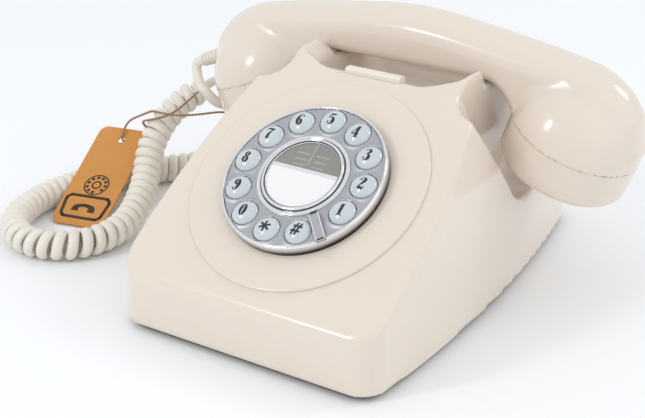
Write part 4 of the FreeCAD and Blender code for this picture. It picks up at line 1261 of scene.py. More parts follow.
@dataclass
class Handset:
    """Handset shell: a ridged, arched handle blended into two domed cups. Sizes in mm."""

    spread: float = 87.0
    cup_arc: float = 32.0
    seam: float = 79.0
    tilt: float = 21.0
    dome: float = 30.0
    wall: float = 2.5
    under: float = 101.3
    thick: float = 26.4
    width: float = 29.0
    end_narrow: float = 4.5
    cradle: float = 33.0
    seam_lap: float = 0.3
    seam_round: float = 0.12
    neck_blend: float = 3.5
    shoulder_blend: float = 7.0
    ridge_fall: float = 8.0
    cell: float = 1.05
    crest_share: float = 0.62
    crest_fall: float = 5.8
    heel_drop: float = 50.2
    waist_share: float = 0.71
    waist_drop: float = 19.0
    waist_arc: float = 8.0
    grip_share: float = 0.57
    grip_arc: float = 14.0
    side_draft: float = 0.03
    under_round: float = 5.0
    top_round: float = 1.6
    narrow_power: float = 1.5
    bore_wall: float = 1.0
    bore_past: float = 9.5
    blend_from: float = 6.0
    blend_run: float = 14.0
    exit_place: tuple[float, float, float] = (-119.0, 33.0, 82.6)
    exit_heading: tuple[float, float, float] = (-0.924, 0.0, -0.382)

    def arch_outline(self) -> np.ndarray:
        """Outline in (x, z) of everything under the handle's arched top, right half first.

        Returns:
            Points of the outline.
        """
        top, spread = self.under + self.thick, self.spread
        crest = [(0.0, top, 0.0), (self.crest_share * spread, top - self.crest_fall, 0.0)]
        crest += [(spread + out, top - fall, 0.0) for out, fall in ARCH_FALL]
        mirrored = [(-x, z, w) for x, z, w in crest[:0:-1]]
        curve = smooth_run(np.array(mirrored + crest), 5)[:, :2]
        reach = curve[-1, 0]
        return np.vstack((curve, [(reach, 0.0), (-reach, 0.0)]))

    def under_outline(self) -> np.ndarray:
        """Outline in (x, z) of the handle's underside and ends.

        Returns:
            Points of the outline.
        """
        end, top = self.spread + self.cup_arc, self.under + self.thick
        waist = (self.waist_share * self.spread, self.under - self.waist_drop, self.waist_arc)
        grip = (self.grip_share * self.spread, self.under, self.grip_arc)
        right = [(end, top + 30, 0), (end, top - self.heel_drop, 0), waist, grip]
        left = [(-u, v, r) for u, v, r in reversed(right)]
        return rounded(right + left, steps=8)

    def __post_init__(self) -> None:
        """Work out the handle's outlines."""
        self.arch = self.arch_outline()
        self.side = self.under_outline()

    def bar(self, p: np.ndarray, inset: float) -> np.ndarray:
        """Distance to the handle.

        Args:
            p: Points in mm.
            inset: How far its surface is set in from the outside.

        Returns:
            Distances in mm, less than 0 inside.
        """
        x, y, z = p[:, 0], np.abs(p[:, 1] - self.cradle), p[:, 2]
        beyond = np.clip((np.abs(x) - self.spread) / self.cup_arc, 0, 1)
        half = self.width / 2 - inset - self.end_narrow * beyond**self.narrow_power
        fall = self.ridge_fall
        round_arc = (half**2 + fall**2) / (2 * fall)
        arch = outline_distance(x, z, self.arch) + inset
        top = np.hypot(y, np.maximum(arch + round_arc, 0)) - round_arc
        flat = outline_distance(x, z, self.side) + inset
        lower = round_meet(flat, y - half - (z - self.under) * self.side_draft, self.under_round)
        return round_meet(lower, top, self.top_round)

    def cup(self, p: np.ndarray, side: int, inset: float) -> tuple[np.ndarray, np.ndarray]:
        """Distance to a cup's ball.

        Args:
            p: Points in mm.
            side: 1 for the right cup, -1 for the left.
            inset: How far its surface is set in from the outside.

        Returns:
            Distances in mm, less than 0 inside, and heights over the cup's seam.
        """
        lean = math.radians(side * self.tilt)
        dx, dy, dz = p[:, 0] - side * self.spread, p[:, 1] - self.cradle, p[:, 2] - self.seam
        across = dx * math.cos(lean) - dz * math.sin(lean)
        up = dx * math.sin(lean) + dz * math.cos(lean)
        radius = (self.cup_arc**2 + self.dome**2) / (2 * self.dome)
        ball = np.sqrt(across**2 + dy**2 + (up - self.dome + radius) ** 2) - radius + inset
        return ball, up

    def shell(self, p: np.ndarray) -> np.ndarray:
        """Distance to the hollow shell, in mm.

        Args:
            p: Points in mm.

        Returns:
            Distances in mm, less than 0 inside.
        """
        solid, hollow = self.bar(p, 0), self.bar(p, self.wall + self.bore_wall)
        hollow = np.maximum(hollow, np.abs(p[:, 0]) - self.spread - self.bore_past)
        outward = smoothstep((np.abs(p[:, 0]) - self.spread + self.blend_from) / self.blend_run)
        blend = self.neck_blend + (self.shoulder_blend - self.neck_blend) * outward
        cut = np.full(len(p), 1e3)
        for side in (1, -1):
            ball, up = self.cup(p, side, 0)
            room, _ = self.cup(p, side, self.wall)
            solid = round_join(solid, ball, blend)
            hollow = np.minimum(hollow, room)
            near = p[:, 0] * side > self.spread / 2
            cut = np.where(near, up, cut)
        solid = round_meet(solid, -self.seam_lap - cut, self.seam_round)
        return np.maximum(solid, -hollow)

    def build(self) -> bpy.types.Object:
        """Build the shell.

        Returns:
            The shell.
        """
        low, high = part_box("handset_shell")
        pad = Vector((0.003, 0.003, 0.003))
        verts, faces = surface_net(lambda p: self.shell(p / MM) * MM, low - pad, high + pad, self.cell * MM)
        shell = make_piece("handset_body", verts, faces, Finish.IVORY, smooth=50.0)
        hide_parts("handset_shell")
        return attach(shell, "handset")


# ---- the dial


@dataclass
class Glyph:
    """A numeral drawn with a broad nib: strokes of (x, y, width) points and rings in a unit-high box."""

    strokes: list[list[tuple[float, float, float]]] = field(default_factory=list)
    rings: list[tuple[float, float, float, float, float, float]] = field(default_factory=list)
    weight: float = 1.28

    def ribbons(self) -> list[tuple[np.ndarray, np.ndarray, bool]]:
        """Left and right edges of each stroke, and whether it is a closed ring.

        Returns:
            For each stroke its two edges, and True for a ring.
        """
        result = []
        for stroke in self.strokes:
            points = smooth_run(np.array(stroke), 6)
            ahead = np.gradient(points[:, :2], axis=0)
            ahead /= np.linalg.norm(ahead, axis=1)[:, None]
            normal = np.stack((-ahead[:, 1], ahead[:, 0]), 1) * points[:, 2:] * self.weight / 2
            result.append((points[:, :2] + normal, points[:, :2] - normal, False))
        for x, y, wide, high, thick, thin in self.rings:
            angle = np.linspace(0, 2 * math.pi, 29)[:-1]
            shape = np.stack((np.cos(angle), np.sin(angle)), 1)
            inner = shape * (wide - thick * self.weight, high - thin * self.weight) + (x, y)
            result.append((inner, shape * (wide, high) + (x, y), True))
        return result


def smooth_run(points: np.ndarray, steps: int) -> np.ndarray:
    """A smooth curve through points.

    Args:
        points: Rows of a place and a width.
        steps: Pieces between one point and the next.

    Returns:
        Closer rows, each with its width.
    """
    padded = np.vstack((2 * points[0] - points[1], points, 2 * points[-1] - points[-2]))
    result = []
    for a, b, c, d in zip(padded, padded[1:], padded[2:], padded[3:]):
        for t in np.arange(steps) / steps:
            square, cube = 2 * a - 5 * b + 4 * c - d, 3 * b - a - 3 * c + d
            result.append(0.5 * (2 * b + (c - a) * t + square * t**2 + cube * t**3))
    return np.array([*result, points[-1]])


MIDDLE = 0.31


def turned(strokes: list[list[tuple[float, float, float]]]) -> list[list[tuple[float, float, float]]]:
    """Strokes turned half round in their box."""
    return [[(2 * MIDDLE - x, 1 - y, w) for x, y, w in stroke] for stroke in strokes]


def spoke(angle: float, reach: float = 0.36, width: float = 0.105) -> list[tuple[float, float, float]]:
    """A straight stroke through the middle of the box."""
    u, v = reach * math.cos(angle), reach * math.sin(angle)
    return [(MIDDLE - u, 0.5 - v, width), (MIDDLE + u, 0.5 + v, width)]


SIX = [
    [(0.47, 0.80, 0.15), (0.45, 0.86, 0.14)],
    [(0.49, 0.86, 0.05), (0.42, 0.95, 0.05), (0.32, 0.97, 0.05), (0.20, 0.86, 0.12), (0.13, 0.62, 0.18),
     (0.13, 0.36, 0.19), (0.19, 0.13, 0.12), (0.31, 0.025, 0.05)],
]
SIX_RING = (0.32, 0.29, 0.25, 0.28, 0.17, 0.055)
GLYPHS = {
    "0": Glyph(rings=[(0.31, 0.5, 0.29, 0.49, 0.19, 0.05)]),
    "1": Glyph([
        [(0.34, 0.02, 0.19), (0.34, 0.98, 0.19)],
        [(0.36, 0.955, 0.07), (0.26, 0.88, 0.06), (0.13, 0.83, 0.05)],
        [(0.14, 0.03, 0.055), (0.54, 0.03, 0.055)],
    ]),
    "2": Glyph([
        [(0.17, 0.70, 0.15), (0.15, 0.76, 0.13)],
        [(0.10, 0.76, 0.06), (0.17, 0.92, 0.06), (0.30, 0.97, 0.055), (0.45, 0.87, 0.16), (0.46, 0.70, 0.19),
         (0.36, 0.48, 0.14), (0.20, 0.26, 0.07), (0.08, 0.05, 0.05)],
        [(0.08, 0.06, 0.08), (0.26, 0.10, 0.17), (0.44, 0.07, 0.15), (0.53, 0.12, 0.07), (0.57, 0.26, 0.04)],
    ]),
    "3": Glyph([
        [(0.15, 0.78, 0.14), (0.14, 0.82, 0.13)],
        [(0.11, 0.84, 0.06), (0.19, 0.95, 0.05), (0.29, 0.97, 0.05), (0.43, 0.88, 0.16), (0.43, 0.70, 0.17),
         (0.33, 0.57, 0.06), (0.22, 0.54, 0.05)],
        [(0.22, 0.54, 0.05), (0.35, 0.52, 0.06), (0.47, 0.40, 0.17), (0.48, 0.20, 0.19), (0.36, 0.05, 0.08),
         (0.25, 0.03, 0.05), (0.13, 0.10, 0.05), (0.10, 0.20, 0.05)],
        [(0.14, 0.17, 0.14), (0.15, 0.23, 0.14)],
    ]),
    "4": Glyph([
        [(0.42, 0.02, 0.18), (0.42, 0.98, 0.18)],
        [(0.44, 0.97, 0.07), (0.24, 0.62, 0.055), (0.04, 0.27, 0.055)],
        [(0.02, 0.26, 0.065), (0.61, 0.26, 0.065)],
        [(0.27, 0.03, 0.055), (0.58, 0.03, 0.055)],
    ]),
    "5": Glyph([
        [(0.13, 0.91, 0.13), (0.32, 0.89, 0.15), (0.46, 0.93, 0.09), (0.55, 0.99, 0.04)],
        [(0.14, 0.94, 0.055), (0.11, 0.50, 0.055)],
        [(0.11, 0.50, 0.05), (0.22, 0.60, 0.06), (0.36, 0.60, 0.10), (0.48, 0.46, 0.18), (0.48, 0.24, 0.19),
         (0.37, 0.07, 0.09), (0.25, 0.03, 0.05), (0.13, 0.09, 0.05), (0.10, 0.19, 0.05)],
        [(0.14, 0.16, 0.14), (0.15, 0.22, 0.14)],
    ]),
    "6": Glyph(SIX, [SIX_RING]),
    "7": Glyph([
        [(0.05, 0.72, 0.045), (0.08, 0.88, 0.10), (0.22, 0.91, 0.15), (0.40, 0.89, 0.15), (0.56, 0.97, 0.05)],
        [(0.55, 0.96, 0.055), (0.42, 0.70, 0.08), (0.30, 0.40, 0.16), (0.27, 0.02, 0.20)],
    ]),
    "8": Glyph(rings=[(0.31, 0.755, 0.215, 0.23, 0.14, 0.05), (0.31, 0.28, 0.26, 0.275, 0.17, 0.05)]),
    "9": Glyph(turned(SIX), [(2 * MIDDLE - SIX_RING[0], 1 - SIX_RING[1], *SIX_RING[2:])]),
    "star": Glyph([spoke(angle) for angle in (math.pi / 2, math.pi / 6, -math.pi / 6)]),
    "hash": Glyph([
        [(0.13, 0.08, 0.10), (0.29, 0.92, 0.10)],
        [(0.35, 0.08, 0.10), (0.51, 0.92, 0.10)],
        [(0.0, 0.34, 0.10), (0.60, 0.34, 0.10)],
        [(0.04, 0.66, 0.10), (0.64, 0.66, 0.10)],
    ]),
}


# How far a film of ink reaches under and over its surface, in mm.
INK_SUNK = 0.08
INK_PROUD = 0.035


def printed(name: str, glyphs: Iterable[tuple[Glyph, float, float, float]],
            lift: Callable[[float, float], float], seat: Matrix, finish: Finish) -> bpy.types.Object:
    """Print glyphs as a thin film of ink over a surface.

    Args:
        name: The piece's name.
        glyphs: Each with its height and the place of its middle, in mm.
        lift: Height of the surface at a place, in mm.
        seat: Where the surface's own axes stand.
        finish: The ink.

    Returns:
        The piece.
    """
    verts: list[Vector] = []
    faces: list[tuple[int, ...]] = []
    for glyph, high, x, y in glyphs:
        for left, right, closed in glyph.ribbons():
            start, count = len(verts), len(left)
            for proud in (-INK_SUNK, INK_PROUD):
                for edge in (left, right):
                    for u, v in edge:
                        px, py = x + (u - MIDDLE) * high, y + (v - 0.5) * high
                        verts.append(seat @ (Vector((px, py, lift(px, py) + proud)) * MM))
            faces += ribbon_faces(start, count, closed)
    return make_piece(name, np.array(verts), faces, finish, smooth=30.0)


def ribbon_faces(start: int, count: int, closed: bool) -> list[tuple[int, ...]]:
    """Faces of a closed strip of four rows: bottom left, bottom right, top left and top right.

    Args:
        start: Number of its first corner.
        count: Corners in a row.
        closed: Whether the strip's end joins its start.

    Returns:
        The faces.
    """
    bl, br, tl, tr = (start + k * count for k in range(4))
    faces = []
    for i in range(count if closed else count - 1):
        j = (i + 1) % count
        faces.append((tl + i, tr + i, tr + j, tl + j))
        faces.append((bl + i, bl + j, br + j, br + i))
        faces.append((tl + i, tl + j, bl + j, bl + i))
        faces.append((tr + i, br + i, br + j, tr + j))
    if not closed:
        faces.append((tl, bl, br, tr))
        k = count - 1
        faces.append((tl + k, tr + k, br + k, bl + k))
    return faces


@dataclass
class Dial:
    """Chrome rim, stamped faceplate, domed buttons, centre ring and label. Sizes in mm."""

    casing: Casing
    rim_arc: float = 39.5
    rim_wall: float = 1.3
    rim_height: float = 6.1
    plate_top: float = 6.7
    plate_thick: float = 1.5
    key_ring: float = 31.0
    key_arc: float = 6.25
    key_first: float = -25.0
    key_gap: float = 40.0
    key_rise: float = 3.1
    sign_high: float = 6.3
    mark_high: float = 7.8
    fit: float = 0.25
    centre_arc: float = 22.2
    label_arc: float = 17.5
    stop_angle: float = -48.1
    stop_from: float = 23.7
    stop_top: float = 8.55
    lip_rise: float = 0.5
    lip_off: float = 0.4
    lip_width: float = 1.15
    dome_foot: float = 0.35
    stem_arc: float = 2.2
    flange_arc: float = 0.65
    flange_thick: float = 0.8
    turns: int = 176
    key_turns: int = 48
    names: tuple[str, ...] = ("1", "2", "3", "4", "5", "6", "7", "8", "9", "0", "star", "hash")

    def key_places(self) -> list[tuple[str, float, float]]:
        """Name and place of each button on the dial.

        Returns:
            For each its name, X and Y.
        """
        step = (360 - self.key_gap) / (len(self.names) - 1)
        places = []
        for i, name in enumerate(self.names):
            angle = math.radians(self.key_first + i * step)
            places.append((name, self.key_ring * math.cos(angle), self.key_ring * math.sin(angle)))
        return places

    def finished(self, name: str, outline: np.ndarray, finish: Finish, node: str,
                 smooth: float = 40.0) -> bpy.types.Object:
        """A turned piece of the dial that stands for a packed one.

        Args:
            name: The piece's name.
            outline: Its outline of (radius, height), in mm.
            finish: Its finish.
            node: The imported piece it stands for.
            smooth: Edges sharper than this many degrees stay sharp.

        Returns:
            The piece.
        """
        verts, faces = lathe(outline * MM, self.turns, self.casing.dial_seat())
        piece = make_piece(name, verts, faces, finish, smooth)
        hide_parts(node)
        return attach(piece, "base")

    def stop_trim(self) -> list[bpy.types.Object]:
        """Raised ridges along the finger stop in bright chrome, their brightness a painted highlight, and
        black blocks at its ends as painted shade of the gaps there.

        Returns:
            The pieces.
        """
        seat = self.casing.dial_seat() @ Matrix.Rotation(math.radians(self.stop_angle), 4, "Z")
        first, last, top = self.stop_from, self.rim_arc, self.stop_top
        sunk, half, flush = top - 0.2, 0.3, top + 0.12
        # Raised ridges in bright chrome on the satin stop: real ridges, their brightness a painted highlight.
        ridges = [((first + 0.9, y - half, sunk), (last + 0.1, y + half, top + 0.3)) for y in (-2.0, 2.0)]
        # Black blocks at both ends of the stop: painted shade of the gaps there.
        gaps = [((first - 0.2, -1.7, sunk), (first + 0.7, 1.7, flush))]
        gaps.append(((last - 0.9, -2.6, sunk), (last - 0.2, 1.6, flush)))
        trims = (("stop_ridges", ridges, Finish.CHROME), ("stop_gap_shade", gaps, Finish.BLACK))
        pieces = []
        for name, boxes, finish in trims:
            verts, faces = boxes_mesh(boxes)
            trim = make_piece(name, seated(verts, seat), faces, finish, smooth=30.0)
            pieces.append(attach(trim, "base"))
        return pieces

    def rim(self) -> bpy.types.Object:
        """Chrome rim with a rolled top edge.

        Returns:
            The rim.
        """
        low, top = self.casing.disc_rise, self.casing.disc_rise + self.rim_height
        inner, outer = self.rim_arc - self.rim_wall, self.rim_arc
        wall = [(inner, low, 0), (outer, low, 0.2), (outer, top - 0.9, 0.3)]
        outline = rounded([*wall, (outer - 0.55, top, 0.5), (inner, top, 0.25)])
        return self.finished("chrome_rim", outline, Finish.CHROME, "dial_rim")

    def centre(self) -> bpy.types.Object:
        """Stepped chrome ring round the label.

        Returns:
            The ring.
        """
        base, outer, inner = self.plate_top - 0.05, self.centre_arc, self.label_arc + 0.1
        outline = rounded(
            [
                (inner, base, 0),
                (outer, base, 0),
                (outer, base + 0.9, 0.45),
                (outer - 1.6, base + 1.25, 0.5),
                (outer - 2.1, base + 0.75, 0.35),
                (outer - 2.7, base + 2.0, 0.5),
                (inner + 1.1, base + 2.05, 0.6),
                (inner, base + 1.3, 0.25),
            ]
        )
        return self.finished("stepped_ring", outline, Finish.CHROME, "centre_ring", smooth=60.0)

    def plate(self) -> bpy.types.Object:
        """Stamped faceplate that rises into a lip round each button.

        Returns:
            The plate.
        """
        places = np.array([(x, y) for _, x, y in self.key_places()])
        outer = self.rim_arc - self.rim_wall - 0.05
        top, hole = self.plate_top, self.key_arc + self.fit

        def distance(points: np.ndarray) -> np.ndarray:
            """Distance of points in metres from the plate laid flat.

            Args:
                points: Places, in metres.

            Returns:
                Distances in metres, less than 0 inside.
            """
            p = points / MM
            radial = np.hypot(p[:, 0], p[:, 1])
            near = np.sqrt(((p[:, None, :2] - places[None]) ** 2).sum(2)).min(1)
            crest = self.lip_rise * np.exp(-(((near - hole - self.lip_off) / self.lip_width) ** 2))
            slab = np.maximum((p[:, 2] - top - crest) * 0.8, top - self.plate_thick - p[:, 2])
            slab = np.maximum(slab, radial - outer)
            return round_meet(slab, hole - near, 0.2) * MM

        reach = (outer + 0.8) * MM
        low, high = (-reach, -reach, (top - 2.4) * MM), (reach, reach, (top + 1.5) * MM)
        verts, faces = surface_net(distance, low, high, 0.5 * MM)
        verts = seated(verts, self.casing.dial_seat())
        plate = make_piece("stamped_plate", verts, faces, Finish.SATIN, smooth=55.0)
        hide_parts("dial_faceplate")
        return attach(plate, "base")

    def dome(self, u: float, v: float) -> float:
        """Height of a button's dome at a place off its middle.

        Args:
            u: Distance to the right, in mm.
            v: Distance up the face, in mm.

        Returns:
            The height, in mm.
        """
        share = min(1.0, math.hypot(u, v) / self.key_arc)
        low = self.plate_top + self.dome_foot
        return low + (self.key_rise - self.dome_foot) * (1 - share**2.2) ** 0.7

    def keys(self) -> list[bpy.types.Object]:
        """Twelve domed buttons with printed numerals.

        Returns:
            The buttons and their numerals.
        """
        pieces = []
        under = self.plate_top - self.plate_thick - 0.3
        below = under - self.flange_thick
        arc, stem = self.key_arc, self.stem_arc
        flange = arc + self.flange_arc
        outline = [(0, 0), (stem, 0), (stem, below), (flange, below), (flange, under), (arc, under)]
        shares = np.sin(np.linspace(0, math.pi / 2, 15))[::-1]
        outline += [(arc * s, self.dome(arc * s, 0)) for s in shares]
        for name, x, y in self.key_places():
            seat = self.casing.dial_seat(self.casing.dial_up + y, x)
            verts, faces = lathe(np.array(outline) * MM, self.key_turns, seat)
            key = make_piece(f"key_{name}_cap", verts, faces, Finish.KEY, smooth=60.0)
            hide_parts(f"button_{name}")
            pieces.append(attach(key, f"key_{name}"))
            high = self.sign_high if name.isdigit() else self.mark_high
            sign = printed(f"key_{name}_sign", [(GLYPHS[name], high, 0.0, 0.1)], self.dome, seat, Finish.INK)
            pieces.append(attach(sign, f"key_{name}"))
        return pieces

    def build(self) -> list[bpy.types.Object]:
        """Build the dial's visible pieces.

        Returns:
            The pieces.
        """
        bright = [self.rim(), self.centre()]
        chrome = DialChrome(self.casing.dial_seat(), self.rim_arc).material()
        for piece in bright:
            recoat(piece.data, chrome)
        return [*bright, self.plate(), *self.stop_trim(), *self.keys()]


# ---- cord and relief

# Route of the cord from the mouth cup to the casing: x, distance behind the front face, z, in mm.
LEAD_ROUTE = [
    (-139.2, 151.5, 70.5),
    (-134.0, 146.5, 65.0),
    (-127.5, 144.0, 61.5),
    (-122.5, 147.0, 55.5),
    (-120.5, 153.0, 52.5),
    (-122.5, 160.0, 53.5),
    (-128.0, 165.5, 57.5),
    (-135.0, 166.0, 61.2),
]
COIL_ROUTE = [
    (-138.0, 156.0, 58.8),
    (-139.8, 150.5, 56.8),
    (-144.5, 141.5, 51.5),
    (-148.0, 130.0, 43.0),
    (-146.5, 117.5, 32.0),
    (-138.5, 104.0, 20.0),
    (-131.5, 88.5, 13.5),
    (-127.0, 72.0, 9.0),
    (-127.0, 56.0, 8.0),
    (-132.5, 42.0, 8.0),
    (-144.0, 33.0, 8.0),
    (-158.5, 31.5, 8.0),
    (-172.5, 38.0, 8.0),
    (-183.0, 50.0, 8.0),
    (-188.5, 66.0, 8.0),
    (-190.0, 83.0, 8.0),
    (-187.5, 101.0, 8.0),
    (-181.0, 119.0, 8.0),
    (-170.5, 135.0, 8.0),
    (-158.0, 150.0, 8.0),
    (-146.5, 165.5, 8.0),
    (-133.5, 180.5, 8.0),
    (-118.5, 193.0, 8.0),
    (-101.5, 201.0, 8.2),
]
TAIL_ROUTE = [(-92.4, 205.3, 8.4)]
# Route of the twine from the cord to the card's hole and back.
TWINE_OUT = [
    (-130.5, 141.6, 61.5),
    (-132.5, 133.0, 57.0),
    (-137.5, 126.0, 51.5),
    (-146.0, 121.5, 48.5),
    (-154.5, 121.5, 46.0),
    (-158.5, 129.0, 39.5),
    (-162.5, 137.0, 34.8),
    (-168.0, 133.0, 29.0),
]
TWINE_BACK = [
    (-175.4, 132.2, 36.2),
    (-172.0, 133.0, 40.0),
    (-157.0, 130.0, 47.8),
    (-149.0, 124.6, 52.0),
    (-141.5, 122.8, 52.8),
    (-131.5, 125.0, 52.5),
    (-121.5, 131.0, 53.5),
    (-114.0, 140.5, 53.8),
    (-114.5, 149.0, 49.5),
    (-118.8, 153.0, 49.2),
]


def spline_points(route: Sequence[Sequence[float]]) -> Points:
    """Points along the smooth line that a route's points pull.

    Args:
        route: Points in metres.

    Returns:
        Close points along the line, in metres.
    """
    curve = bpy.data.curves.new("route", "CURVE")
    curve.dimensions = "3D"
    curve.resolution_u = 24
    spline = curve.splines.new("NURBS")
    spline.points.add(len(route) - 1)
    for point, place in zip(spline.points, route):
        point.co = (*place, 1.0)
    spline.use_endpoint_u = True
    spline.order_u = 3
    helper = bpy.data.objects.new("route", curve)
    bpy.context.scene.collection.objects.link(helper)
    mesh = plain_mesh(helper)
    points = np.array([v.co for v in mesh.vertices])
    bpy.data.meshes.remove(mesh)
    remove(helper)
    return points


def even_points(points: Points, step: float) -> Points:
    """Points an even step apart along a line.

    Args:
        points: The line.
        step: Distance between points, in the line's unit.

    Returns:
        The points, the line's two ends among them.
    """
    gaps = np.linalg.norm(np.diff(points, axis=0), axis=1)
    points = points[np.concatenate(([True], gaps > TINY))]
    along = distance_along(points)
    marks = np.linspace(0, along[-1], max(2, int(round(along[-1] / step)) + 1))
    return np.stack([np.interp(marks, along, points[:, k]) for k in range(3)], 1)


def distance_along(points: Points) -> np.ndarray:
    """Distance of each point along their line."""
    return np.concatenate(([0.0], np.cumsum(np.linalg.norm(np.diff(points, axis=0), axis=1))))


def line_length(points: Points) -> float:
    """Length of a line of points."""
    return float(np.linalg.norm(np.diff(points, axis=0), axis=1).sum())


def carried_frames(points: Points) -> tuple[Points, Points, Points]:
    """Axes along a line that don't twist about it.

    Args:
        points: The line.

    Returns:
        At each point, its direction and two axes across it.
    """
    ahead = np.gradient(points, axis=0)
    ahead /= np.linalg.norm(ahead, axis=1)[:, None]
    first = np.cross(ahead[0], (0.0, 0.0, 1.0) if abs(ahead[0][2]) < 0.9 else (1.0, 0.0, 0.0))
    rows = []
    for direction in ahead:
        first = first - direction * (first @ direction)
        first = first / np.linalg.norm(first)
        rows.append(first)
    rows = np.array(rows)
    return ahead, rows, np.cross(ahead, rows)


def smoothstep(t: np.ndarray) -> np.ndarray:
    """0 to 1 with level ends."""
    t = np.clip(t, 0, 1)
    return t * t * (3 - 2 * t)


